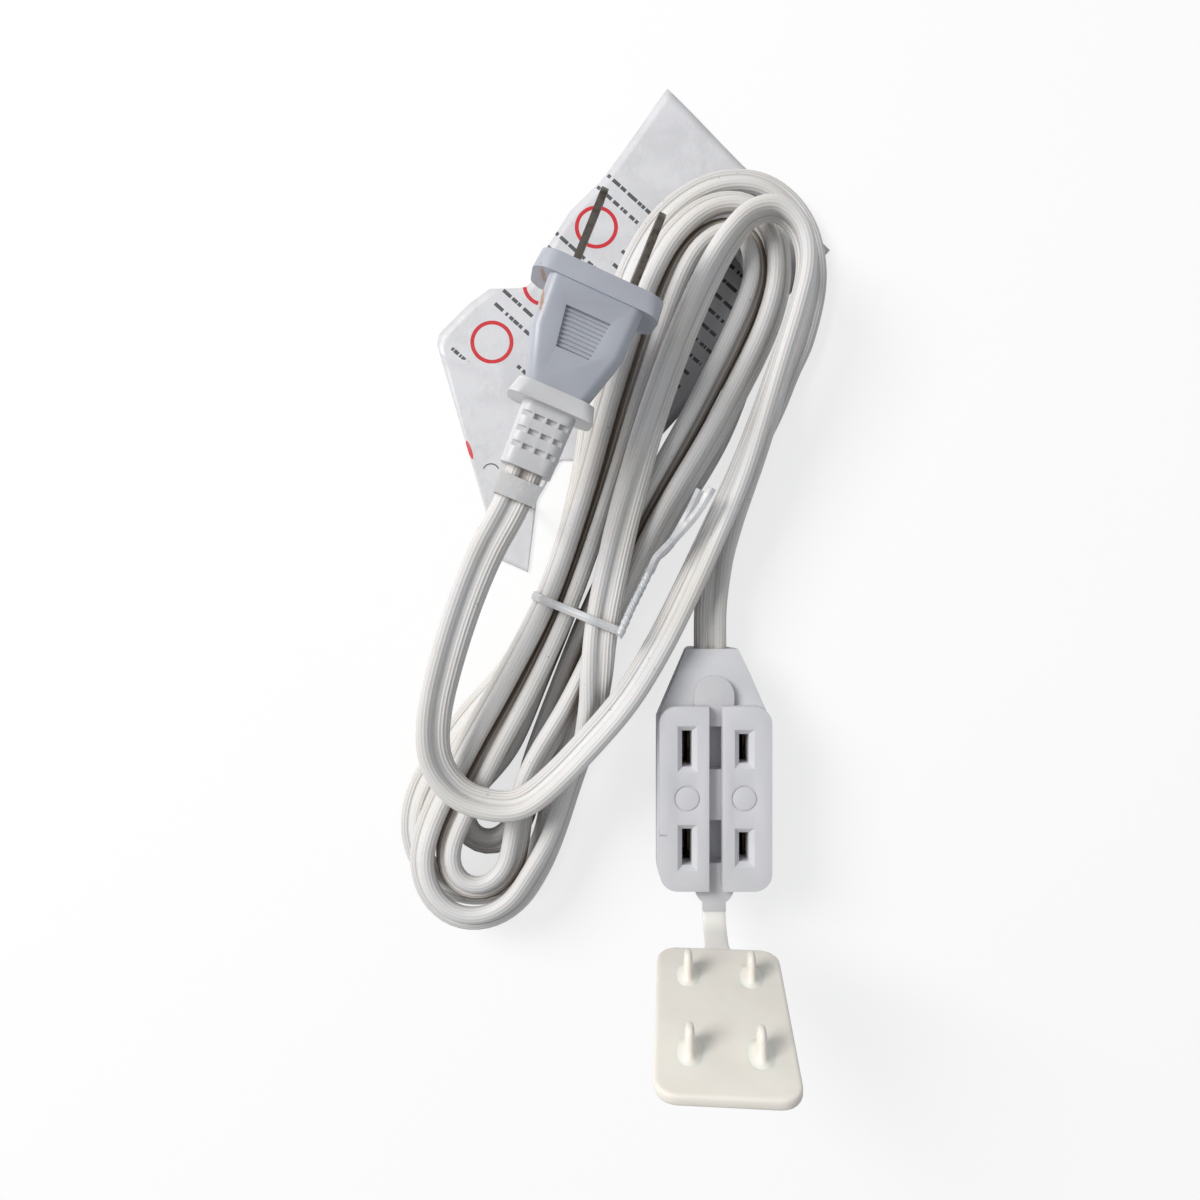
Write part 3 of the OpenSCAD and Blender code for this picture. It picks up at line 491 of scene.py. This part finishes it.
def to_part(u, v, z):
    """Hank axes (along, across, up) to the row's frame."""
    sin, cos = math.sin(HANK_ANGLE), math.cos(HANK_ANGLE)
    return Vector((HANK_CENTRE[0] + u * sin + v * cos, HANK_CENTRE[1] + u * cos - v * sin, z))


def over_turns(values, turn):
    """A value that changes from turn to turn of the hank."""
    value = values[0]
    for before, after, (start, end) in zip(values, values[1:], CHANGES):
        value += (after - before) * smooth_step((turn - start) / (end - start))
    return value


def ring_share(k):
    """How far along its half turn the k-th place lies."""
    if k <= RUN_RINGS:
        return RUN_SHARE * k / RUN_RINGS
    if k <= RUN_RINGS + ARCH_RINGS:
        return RUN_SHARE + (1 - 2 * RUN_SHARE) * (k - RUN_RINGS) / ARCH_RINGS
    return 1 - RUN_SHARE * (HALF_RINGS - k) / RUN_RINGS


def hank_point(i):
    """Half turns run from waist to waist, the first one round the low end."""
    half = i // HALF_RINGS
    share = ring_share(i - half * HALF_RINGS)
    turn = (half + share) / 2 - 0.25
    end = TOP if half % 2 else LOW
    reach, arch, wide, mid, lean = (over_turns(end[key], turn)
                                    for key in ("reach", "arch", "half", "mid", "lean"))
    near, upright = over_turns(WAIST, turn), over_turns(WAIST_LEAN, turn)
    side = (-1 if share < 0.5 else 1) * end["way"]
    along = min(share, 1 - share) / RUN_SHARE
    grown = math.sin(math.pi / 2 * min(along, 1)) ** over_turns(end["late"][side], turn)
    if along < 1:
        u = (reach - arch) * along
        v = side * near + (side * wide + mid - side * near) * grown
    else:
        angle = math.pi * (share - RUN_SHARE) / (1 - 2 * RUN_SHARE)
        u = reach - arch + arch * math.sin(angle)
        v = mid - end["way"] * wide * math.cos(angle)
    height = over_turns(LEVEL, turn) - over_turns(SETTLE, turn) * grown
    return end["way"] * u, v, height, 90 - upright - (lean - upright) * grown


def cord_route():
    """From the plug to the tap: x, y, z and roll."""
    coiled = [hank_point(i) for i in range(FIRST_RING, LAST_RING + 1)]
    points = [(*to_part(u, v, z), roll) for u, v, z, roll in PLUG_ROUTE + coiled + TAP_ROUTE]
    return points + [(0, NECK_END + NECK_RUN, SPLIT_Z, 180), (0, NECK_END, SPLIT_Z, 180)]


def twin_section():
    """(across, through, place round the lobe); the neutral lobe counts from 2 to 3."""
    section = []
    points = 2 * RIDGES
    for side, groove, start, first in ((1, DRAWN, LOBE_ARC / 2, 0),
                                       (-1, RIDGE, LOBE_ARC / 2 - 180, 2)):
        for k in range(points + 1):
            turn = math.radians(start - LOBE_ARC * k / points)
            radius = LOBE_R - (groove if k % 2 else 0)
            section.append((side * LOBE_R + radius * math.cos(turn), radius * math.sin(turn),
                            k / points + first))
    return section


def mark_runs(mesh, section, runs):
    """A map for the material: place round the lobe, and distance along the cord in metres."""
    layer = mesh.uv_layers.new(name="run")
    count = len(section)
    for face in mesh.polygons:
        corners = [mesh.loops[i].vertex_index for i in face.loop_indices]
        lobes = [section[c % count][2] for c in corners]
        seam = max(lobes) - min(lobes) > 0.9
        for loop, corner, lobe in zip(face.loop_indices, corners, lobes):
            layer.data[loop].uv = (0.0 if seam else lobe, runs[corner // count])


def make_cord(material):
    line = eased(through(cord_route(), CORD_STEP), EASING)
    section = twin_section()
    rings = [[place + across * a + through_it * t for a, t, _ in section]
             for place, across, through_it in frames_along(line)]
    points, faces = loft(rings)
    mesh = mesh_of("cord", points, faces, crease=55)
    runs = [0.0]
    for a, b in zip(line, line[1:]):
        runs.append(runs[-1] + (Vector(b[:3]) - Vector(a[:3])).length * MM)
    mark_runs(mesh, section, runs)
    cord = add_object("cord", mesh, material)
    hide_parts("cord_tap_lead", "cord_hank", "cord_plug_lead")
    path = [Vector(p[:3]) * MM for p in reversed(line)]
    print("cord length", round(runs[-1], 4))
    return cord, path, runs[-1]


# ---------------------------------------------------------------- the safety cover

TAP_HALF = 26.75
HINGE = Vector((0, -TAP_HALF - 7.45, 19.6))
COVER_OPEN, COVER_LEAN = math.radians(102), math.radians(-5)
PLATE_W, PLATE_L, PLATE_T = 25.5, 42.2, 2.2
PLATE_Z = 20.2
PLATE_Y = -26.65
PLATE_R = 4.2
# The plate's rim from below to above: how far in from the outline, height
PLATE_EDGE = ((0.9, 0.0), (0.42, 0.06), (0.14, 0.24), (0.0, 0.62), (0.0, 1.58), (0.14, 1.96),
              (0.42, 2.14), (0.9, PLATE_T))
PRONG_X, PRONG_ROWS = 6.35, (-17.05, 4.85)
PRONG_H = 5.4
# A prong from its foot to its tip: height, half its width, half its thickness
PRONG_PROFILE = ((0.25, 4.3, 3.0), (-0.06, 3.7, 2.2), (-0.4, 3.15, 1.55), (-0.9, 2.75, 1.06),
                 (-1.9, 2.5, 0.99), (-3.4, 2.15, 0.93), (-4.4, 1.8, 0.84), (-5.0, 1.4, 0.68),
                 (-5.3, 0.95, 0.46), (-PRONG_H, 0.45, 0.22))
PRONG_POINTS, PRONG_SQUARE = 20, 0.8
CORNER_POINTS = 7
TONGUE_Y, DECK_Z, STRAP_T = -32.15, 15.5, 1.6
# The tether: how far it sinks into the tongue and the plate, and how far it runs straight
TETHER_SINK, TETHER_LEAD = (0.6, 0.8), 5
TETHER_W, TETHER_T, TETHER_FLARE = 5.2, 1.2, 0.22
TETHER_RINGS, TETHER_POINTS, TETHER_SQUARE = 24, 16, 0.45


def opened(point):
    """A place on the closed cover carried to where the cover stands open."""
    turn = (Matrix.Translation(HINGE) @ Matrix.Rotation(COVER_LEAN, 4, "Y")
            @ Matrix.Rotation(COVER_OPEN, 4, "X") @ Matrix.Translation(-HINGE))
    return turn @ Vector(point)


def rounded_ring(width, length, radius, z, centre):
    """Outline of a rounded rectangle at height z."""
    ring = []
    for cx, cy, start in ((1, 1, 0), (-1, 1, 90), (-1, -1, 180), (1, -1, 270)):
        for k in range(CORNER_POINTS):
            turn = math.radians(start + 90 * k / (CORNER_POINTS - 1))
            ring.append((centre[0] + cx * (width / 2 - radius) + radius * math.cos(turn),
                         centre[1] + cy * (length / 2 - radius) + radius * math.sin(turn), z))
    return ring


def plate_shape():
    centre = (0, PLATE_Y + PLATE_L / 2)
    return loft([rounded_ring(PLATE_W - 2 * inset, PLATE_L - 2 * inset, PLATE_R - inset,
                              PLATE_Z + z, centre) for inset, z in PLATE_EDGE])


def prong_shape(x, y):
    """A blunt fin that grows out of the plate with a soft fillet."""
    turns = [squared_turn(k, PRONG_POINTS, PRONG_SQUARE) for k in reversed(range(PRONG_POINTS))]
    return loft([[(x + half_t * cos, y + half_w * sin, PLATE_Z + height) for cos, sin in turns]
                 for height, half_w, half_t in PRONG_PROFILE])


def make_cover(material):
    parts = [plate_shape()] + [prong_shape(x, y) for x in (-PRONG_X, PRONG_X)
                               for y in PRONG_ROWS]
    points, faces = join_parts(parts)
    mesh = mesh_of("safety_cover", [opened(p) for p in points], faces, crease=50)
    cover = add_object("safety_cover", mesh, material, "cover")
    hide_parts("cover_plate")


def bent(a, b, c, d, f):
    """Place and direction at share f of a curve from a to d that leaves to b and comes from c."""
    place = a * (1 - f) ** 3 + b * 3 * f * (1 - f) ** 2 + c * 3 * f * f * (1 - f) + d * f ** 3
    ahead = (b - a) * (1 - f) ** 2 + (c - b) * 2 * f * (1 - f) + (d - c) * f * f
    return place, ahead.normalized()


def make_tether(material):
    """A strip that bends from the strap's tongue to the near edge of the plate."""
    start = Vector((0, TONGUE_Y + TETHER_SINK[0], DECK_Z + STRAP_T / 2))
    leave = start - Vector((0, TETHER_LEAD, 0))
    plate_mid = PLATE_Z + PLATE_T / 2
    far = opened((0, PLATE_Y - TETHER_LEAD, plate_mid))
    end = opened((0, PLATE_Y + TETHER_SINK[1], plate_mid))
    across_end = opened((1, PLATE_Y, plate_mid)) - opened((0, PLATE_Y, plate_mid))
    turns = [squared_turn(k, TETHER_POINTS, TETHER_SQUARE) for k in range(TETHER_POINTS)]
    rings = []
    for i in range(TETHER_RINGS + 1):
        f = i / TETHER_RINGS
        place, ahead = bent(start, leave, far, end, f)
        side = Vector((1, 0, 0)).lerp(across_end, f).normalized()
        up = ahead.cross(side).normalized()
        flare = 1 + TETHER_FLARE * smooth_step((f - 0.8) / 0.2)
        rings.append([place + side * (TETHER_W / 2) * flare * cos + up * (TETHER_T / 2) * sin
                      for cos, sin in turns])
    points, faces = loft(rings)
    mesh = mesh_of("cover_strip", points, faces)
    strip = add_object("cover_strip", mesh, material, None)
    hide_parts("cover_tether")
    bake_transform(strip)


# ---------------------------------------------------------------- the twist tie

TIE_W, TIE_T = 1.9, 0.3
WIRE_R = 0.32
TIE_BAND = [(-10.8, 0.4), (10.8, 0.4), (11, 9), (11.3, 17), (11.2, 20.6), (10.4, 21.4),
            (3.2, 21.4), (-8.4, 16.5), (-10.9, 11.5)]
TIE_CENTRE = Vector((0, 10))
TIE_CLEAR = 0.6                 # of its thickness, between the band's line and its film
# Both ends, across the hank, along it, height: wound round one line, then free
TWIST_LINE = [(10.6, -0.8, 22.6), (10.7, 2.5, 22.6), (10.8, 5, 21.4), (11.2, 9.5, 19.6),
              (11.6, 14.5, 18.6)]
TWIST_STEP, TWIST_STEPS, TWIST_R = 0.35, 11, 0.55
FREE_ENDS = [[(11.9, 18, 19.1), (13.4, 22, 19.6), (16.2, 30, 20.2), (17.5, 37, 21)],
             [(12.0, 18, 18.4), (13.6, 22, 18.4), (14.8, 30, 18.2), (15.2, 36, 18.6)]]
FREE_STEP, FREE_SWAY, SWAY_STEP, FACE_SHARE = 1.2, 0.4, 0.35, 0.35


def tie_section():
    """A flat film with the wire as a bead along its middle."""
    half, thin, bead = TIE_W / 2, TIE_T / 2, WIRE_R
    top = [(half, thin * 0.5), (half * 0.9, thin), (0.45, thin), (0.28, bead * 0.8), (0, bead),
           (-0.28, bead * 0.8), (-0.45, thin), (-half * 0.9, thin), (-half, thin * 0.5)]
    return top + [(-x, -y) for x, y in top]


def ribbon(places, normals):
    """A tie's film along places, its face towards normals."""
    rings = []
    for i, place in enumerate(places):
        ahead = ahead_at(places, i)
        face = (normals[i] - ahead * normals[i].dot(ahead)).normalized()
        side = face.cross(ahead)
        rings.append([place + side * x + face * y for x, y in tie_section()])
    return loft(rings)


def tie_band():
    """The closed turn round the waist of the hank."""
    count = len(TIE_BAND)
    loop = [Vector(p) for p in TIE_BAND]
    places, normals = [], []
    for i in range(count):
        a, b = loop[i], loop[(i + 1) % count]
        parts = max(2, round((b - a).length / 1.5))
        for k in range(parts):
            flat = a.lerp(b, k / parts)
            out = (flat - TIE_CENTRE).normalized()
            flat = flat + out * TIE_T * TIE_CLEAR
            places.append(to_part(0, flat[0], flat[1]))
            normals.append(to_part(0, out[0], out[1]) - to_part(0, 0, 0))
    places.append(places[0].copy())
    normals.append(normals[0].copy())
    return ribbon(places, normals)


def wound(line, strand):
    """Places and normals of one of two strands round a line."""
    places, normals = [], []
    for i, centre in enumerate(line):
        side, up = level_axes(ahead_at(line, i))
        turn = math.pi * strand + 2 * math.pi * i / TWIST_STEPS
        out = side * math.cos(turn) + up * math.sin(turn)
        places.append(centre + out * TWIST_R)
        normals.append(out)
    return places, normals


def tie_twist():
    """Both ends wound round each other, then let go as two free ends."""
    line = [to_part(u, v, z) for v, u, z in through(TWIST_LINE, TWIST_STEP)]
    parts = []
    for strand, tail in enumerate(FREE_ENDS):
        places, normals = wound(line, strand)
        run = through([places[-1]] + [to_part(u, v, z) for v, u, z in tail], FREE_STEP)
        for k, place in enumerate(run[1:]):
            places.append(place)
            upwards = Vector((0, 0, 1)) + Vector((FREE_SWAY, 0, 0)) * math.sin(k * SWAY_STEP)
            normals.append(normals[-1].lerp(upwards, FACE_SHARE).normalized())
        parts.append(ribbon(places, normals))
    return parts


def make_tie(material):
    points, faces = join_parts([tie_band()] + tie_twist())
    tie = add_object("tie", mesh_of("tie", points, faces, crease=60), material)
    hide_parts("twist_tie")


# ---------------------------------------------------------------- the tag

FOLD_LEFT, FOLD_RIGHT = Vector((-65.6, 100.4)), Vector((-16.9, 71.4))
TAG_FAR_LEFT, TAG_FAR_RIGHT = Vector((-9.4, 162.3)), Vector((30.5, 123.6))
TAG_ALONG = (TAG_FAR_LEFT - FOLD_LEFT).normalized()
TAG_ACROSS = Vector((TAG_ALONG[1], -TAG_ALONG[0]))
TAPER_LEFT = [FOLD_LEFT, Vector((-57, 71)), Vector((-50.2, 47.8))]
TAPER_RIGHT = [FOLD_RIGHT, Vector((-35.5, 72.2)), Vector((-41.2, 62.5)), Vector((-43.4, 44.8))]
# The far half's left edge where the film curls: how far along it, how far inwards
TAG_EDGE = ((0, 0), (2.3, -1.5), (12.3, -1.0), (18.8, 0.3), (24.5, 6.4), (26.6, 6.9), (35.1, 4.0),
            (46, 2.1), (57, 2.7), (72, 1.2), (83.6, 0))
CREASE = (FOLD_LEFT - Vector((0, 2)), Vector((-16.9, 82)))
CREASE_H, CREASE_W = 0.55, 1.1
REST_H, WAVE_H, LIFT_H = 0.14, 0.10, 1.5
FILM_T = 0.16
TAG_COLUMNS, TAG_ROWS = 26, 40


def along_line(line, share):
    """Place at a share of the length of a bent line."""
    lengths = [(b - a).length for a, b in zip(line, line[1:])]
    rest = share * sum(lengths)
    for a, b, length in zip(line, line[1:], lengths):
        if rest <= length:
            return a.lerp(b, rest / length)
        rest -= length
    return line[-1].copy()


def tag_edge(share):
    """Place on the left edge of the tag's far half, from the fold (0) to the far corner (1)."""
    along = share * TAG_EDGE[-1][0]
    for (a, inset_a), (b, inset_b) in zip(TAG_EDGE, TAG_EDGE[1:]):
        if along <= b:
            break
    inset = inset_a + (inset_b - inset_a) * (along - a) / (b - a)
    return FOLD_LEFT + TAG_ALONG * along + TAG_ACROSS * inset


def tag_height(x, y):
    """Faint waves, a crease along the fold, and corners that lift off the table."""
    place = Vector((x, y))
    fold = (CREASE[1] - CREASE[0]).normalized()
    off = place - CREASE[0]
    distance = abs(off[0] * fold[1] - off[1] * fold[0])
    run = off.dot(fold) / (CREASE[1] - CREASE[0]).length
    crease = CREASE_H * math.exp(-(distance / CREASE_W) ** 2) * smooth_step((0.55 - run) / 0.3)
    wave = WAVE_H * noise.noise(Vector((x * 0.05, y * 0.05, 2.0)))
    far = smooth_step(((place - FOLD_LEFT).dot(TAG_ALONG) - 62) / 24)
    left = smooth_step((26 - off.dot(TAG_ACROSS)) / 26)
    return REST_H + wave + crease + LIFT_H * far * left


def make_tag(material):
    grid = []
    for i in range(TAG_ROWS + 1):
        share = 1 - i / TAG_ROWS
        grid.append((tag_edge(share), FOLD_RIGHT.lerp(TAG_FAR_RIGHT, share)))
    for i in range(1, TAG_ROWS + 1):
        share = i / TAG_ROWS
        grid.append((along_line(TAPER_LEFT, share), along_line(TAPER_RIGHT, share)))
    grid = [[left.lerp(right, j / TAG_COLUMNS) for j in range(TAG_COLUMNS + 1)]
            for left, right in grid]
    rings = [[(p[0], p[1], tag_height(p[0], p[1])) for p in row] for row in grid]
    points, faces = loft(rings, closed=False, caps=False)
    tag = add_object("care_tag", mesh_of("care_tag", points, faces, crease=30), material)
    skin = tag.modifiers.new("film", "SOLIDIFY")
    skin.thickness = FILM_T * MM
    skin.offset = 0
    bake_modifiers(tag)
    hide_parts("tag")
    return tag


FILM_WHITE, FILM_GREY = rgb(0.66, 0.66, 0.685), rgb(0.60, 0.60, 0.625)
INK, RING_RED, SLIVER_RED = rgb(0.03, 0.03, 0.035), rgb(0.55, 0.02, 0.03), rgb(0.60, 0.04, 0.05)
SLIT_GREY = rgb(0.10, 0.10, 0.10)
# Rows of dashes, across the tag
ROW_PITCH, ROW_FROM, ROW_TO, INK_SHARE = 3.8, 0.36, 0.6, 0.92
DASH_CELLS, DASH_LEVEL = 0.8, 0.45
PRINT_LEFT, PRINT_RIGHT, PRINT_END = 3.0, 51.0, 64.0
# Three plain rings in a column, with a clear field round each
RING_PITCH, RING_R, RING_LINE, RING_ACROSS, RING_COUNT = 19.0, 4.8, 0.48, 9.5, 3
RING_FIELD, RING_COLUMN = 6.4, 18.0
# On the blank taper: a curved slit and a sliver of red
SLIT, SLIT_R, SLIT_LINE, SLIT_RISE = (-52.4, 69.3), 2.0, 0.16, 0.8
SLIVER_ENDS, SLIVER_SPAN = ((-58.4, 76.9), (-56.9, 72.5)), 4.75


class TagPaint(Paint):
    """Paint that knows places on the tag in millimetres, and masks that are 0 or 1."""

    def __init__(self, name):
        super().__init__(name)
        place = self.add("SeparateXYZ", Vector=self.place)
        self.x, self.y = place.outputs[0], place.outputs[1]

    def beyond(self, start, direction):
        """How far a place lies from start, counted along direction."""
        along = self.math("ADD", self.math("MULTIPLY", self.x, direction[0] / MM),
                          self.math("MULTIPLY", self.y, direction[1] / MM))
        return self.math("SUBTRACT", along, start.dot(direction))

    def length(self, a, b):
        return self.math("SQRT", self.math("ADD", self.math("MULTIPLY", a, a),
                                           self.math("MULTIPLY", b, b)))

    def from_point(self, point):
        return self.length(self.math("SUBTRACT", self.math("DIVIDE", self.x, MM), point[0]),
                           self.math("SUBTRACT", self.math("DIVIDE", self.y, MM), point[1]))

    def above(self, value, limit):
        return self.math("GREATER_THAN", value, limit)

    def below(self, value, limit):
        return self.math("LESS_THAN", value, limit)

    def near(self, value, middle, reach):
        return self.below(self.math("ABSOLUTE", self.math("SUBTRACT", value, middle)), reach)

    def both(self, *masks):
        total = masks[0]
        for mask in masks[1:]:
            total = self.math("MULTIPLY", total, mask)
        return total


def dashes(paint, along, across, step):
    """Rows of short dashes, broken up by noise, that keep clear of the rings."""
    row = paint.math("DIVIDE", along, ROW_PITCH)
    place_in_row = paint.math("FRACT", row)
    in_row = paint.both(paint.above(place_in_row, ROW_FROM), paint.below(place_in_row, ROW_TO))
    cell = paint.add("CombineXYZ", X=paint.math("MULTIPLY", across, DASH_CELLS),
                     Y=paint.math("FLOOR", row)).outputs[0]
    broken = paint.above(paint.noise(1.0, 1.0, place=cell), DASH_LEVEL)
    clear = paint.math("MAXIMUM", paint.above(across, RING_COLUMN),
                       paint.above(paint.math("ABSOLUTE", step), RING_FIELD))
    return paint.both(in_row, broken, clear, paint.above(across, PRINT_LEFT),
                      paint.below(across, PRINT_RIGHT), paint.below(along, PRINT_END))


def rings_in_column(paint, along, across, step):
    away = paint.length(step, paint.math("SUBTRACT", across, RING_ACROSS))
    return paint.both(paint.near(away, RING_R, RING_LINE),
                      paint.below(along, RING_COUNT * RING_PITCH))


def tag_print():
    """White film with plain rings and rows of short dashes; no lettering and no pictures."""
    paint = TagPaint("tag_print")
    along = paint.beyond(FOLD_LEFT, TAG_ALONG)
    across = paint.beyond(FOLD_LEFT, TAG_ACROSS)
    step = paint.math("SUBTRACT", paint.math("MODULO", along, RING_PITCH), RING_PITCH / 2)
    # Printed on the far side of the crease only
    fold = (CREASE[1] - CREASE[0]).normalized()
    printed = paint.above(paint.beyond(CREASE[0], Vector((-fold[1], fold[0]))), 0.4)
    creases = paint.ramp(paint.noise(90.0, 5.0, 0.65), 0.4, 0.65)
    tone = paint.blend(creases, FILM_WHITE, FILM_GREY)
    ink = paint.both(dashes(paint, along, across, step), printed)
    tone = stain_and_shade_over(paint, tone, INK_SHARE, ink, INK)
    ring = paint.both(rings_in_column(paint, along, across, step), printed)
    tone = paint.blend(ring, tone, RING_RED)
    slit = paint.both(paint.near(paint.from_point(SLIT), SLIT_R, SLIT_LINE),
                      paint.above(paint.y, (SLIT[1] + SLIT_RISE) * MM))
    tone = paint.blend(slit, tone, SLIT_GREY)
    span = paint.math("ADD", *[paint.from_point(end) for end in SLIVER_ENDS])
    tone = paint.blend(paint.below(span, SLIVER_SPAN), tone, SLIVER_RED)
    return paint.finish(tone, 0.38, paint.bump(creases, 0.3, 0.25), Subsurface_Weight=0.08,
                        Subsurface_Scale=0.5 * MM)


# ---------------------------------------------------------------- put together

FLOOR_HALF, FLOOR_Z, FLOOR_GLOW = 1500, -0.4, 0.72


def floor_material():
    """Pale table: white to the camera where nothing shades it."""
    paint = Paint("table")
    tone = paint.blend(paint.ramp(paint.noise(3.0), 0.3, 0.7), rgb(0.93, 0.93, 0.93),
                       rgb(0.90, 0.90, 0.90))
    material = paint.finish(tone, 0.7, paint.bump(paint.noise(900.0), 0.05, 0.05))
    glow = paint.add("Emission")
    glow.inputs["Strength"].default_value = 1.0
    rays = paint.add("LightPath")
    seen = paint.math("MULTIPLY", rays.outputs["Is Camera Ray"], FLOOR_GLOW)
    mix = paint.add("MixShader")
    paint.put(mix.inputs[0], seen)
    paint.put(mix.inputs[1], paint.shader.outputs[0])
    paint.put(mix.inputs[2], glow.outputs[0])
    paint.put(paint.tree.nodes["Material Output"].inputs["Surface"], mix.outputs[0])
    return material


def make_floor():
    points = [(x * FLOOR_HALF, y * FLOOR_HALF, FLOOR_Z)
              for x, y in ((-1, -1), (1, -1), (1, 1), (-1, 1))]
    floor = add_object("table", mesh_of("table", points, [(0, 1, 2, 3)]), floor_material(), None)


def dress(node, material):
    """Gives a CAD node that stays its finished material."""
    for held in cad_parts[node].material_slots:
        held.material = material


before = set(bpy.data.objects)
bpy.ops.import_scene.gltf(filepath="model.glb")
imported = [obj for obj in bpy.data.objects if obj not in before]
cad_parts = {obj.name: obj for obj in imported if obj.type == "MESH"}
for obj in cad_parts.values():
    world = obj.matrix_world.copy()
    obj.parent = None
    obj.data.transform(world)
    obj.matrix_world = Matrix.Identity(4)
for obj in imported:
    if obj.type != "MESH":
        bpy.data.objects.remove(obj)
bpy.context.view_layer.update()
bpy.context.scene.view_settings.view_transform = "Standard"

make_camera()
cord, cord_path, cord_length = make_cord(cord_vinyl())

make_world()
make_key_lamp()

# Marks: centre, reach, colour, share
SCUFF = ((-12.2, -14.2, 18.5), (1.7, 0.45, 3.0), rgb(0.20, 0.19, 0.18), 0.6)
CHIPPED = ((-37.2, 99.6, 37.0), (0.8, 6.4, 9.0), rgb(0.32, 0.18, 0.09), 0.85)

white = moulded("tap_white", rgb(0.60, 0.60, 0.63), rgb(0.565, 0.57, 0.595), 0.42,
                painted_shade_share=0.25, marks=[SCUFF])
strap_white = moulded("strap_white", rgb(0.56, 0.56, 0.585), rgb(0.53, 0.53, 0.55), 0.5)
# The grip is darker and bluer than the tap: partly the plug's own grey, partly painted shade on
# it
plug_white = moulded("plug_white", rgb(0.40, 0.42, 0.475), rgb(0.37, 0.385, 0.44), 0.36,
                     glow=0.06, marks=[CHIPPED])
sleeve_white = moulded("sleeve_white", rgb(0.585, 0.585, 0.60), rgb(0.545, 0.545, 0.56), 0.4,
                       painted_shade_share=0.25, glow=0.06)
cream = moulded("cover_vinyl", rgb(0.765, 0.735, 0.675), rgb(0.73, 0.70, 0.64), 0.5,
                painted_shade_share=0.35, glow=0.12)
milky = moulded("tether_vinyl", rgb(0.76, 0.75, 0.715), rgb(0.72, 0.71, 0.67), 0.45,
                painted_shade_share=0.35, glow=0.12)
inner = moulded("core_white", rgb(0.74, 0.73, 0.70), rgb(0.68, 0.66, 0.62), 0.5)
brass = metal("contact_brass", rgb(0.10, 0.072, 0.035), rgb(0.055, 0.038, 0.02), 0.5)
nickel = metal("blade_nickel", rgb(0.125, 0.112, 0.10), rgb(0.065, 0.055, 0.045), 0.38)
tie_film = film("tie_film", rgb(0.70, 0.71, 0.73), rgb(0.60, 0.61, 0.64), 0.25)
band_film = film("band_film", rgb(0.70, 0.70, 0.70), rgb(0.62, 0.62, 0.63), 0.2)

softened("tap_back_shell", "tap_back", white, 0.35)
softened("tap_front_shell", "tap_front", white, 0.28)
softened("cover_strap", "cover_band", strap_white, 0.25)
softened("plug_body", "plug_grip", plug_white, 0.55)
softened("plug_strain_relief", "plug_sleeve", sleeve_white, 0.22, 2)
softened("tag_band", "tag_loop", band_film, 0.12, 2)
softened("blade_neutral", "wide_blade", nickel, 0.16, 2)
softened("blade_line", "narrow_blade", nickel, 0.16, 2)
dress("plug_bridge", plug_white)
for core in ("core_neutral_tap", "core_line_tap", "core_neutral_plug", "core_line_plug"):
    dress(core, inner)
for contact in ("contact_neutral", "contact_line"):
    dress(contact, brass)

make_cover(cream)
make_tether(milky)
make_tie(tie_film)
tag = make_tag(tag_print())
make_floor()
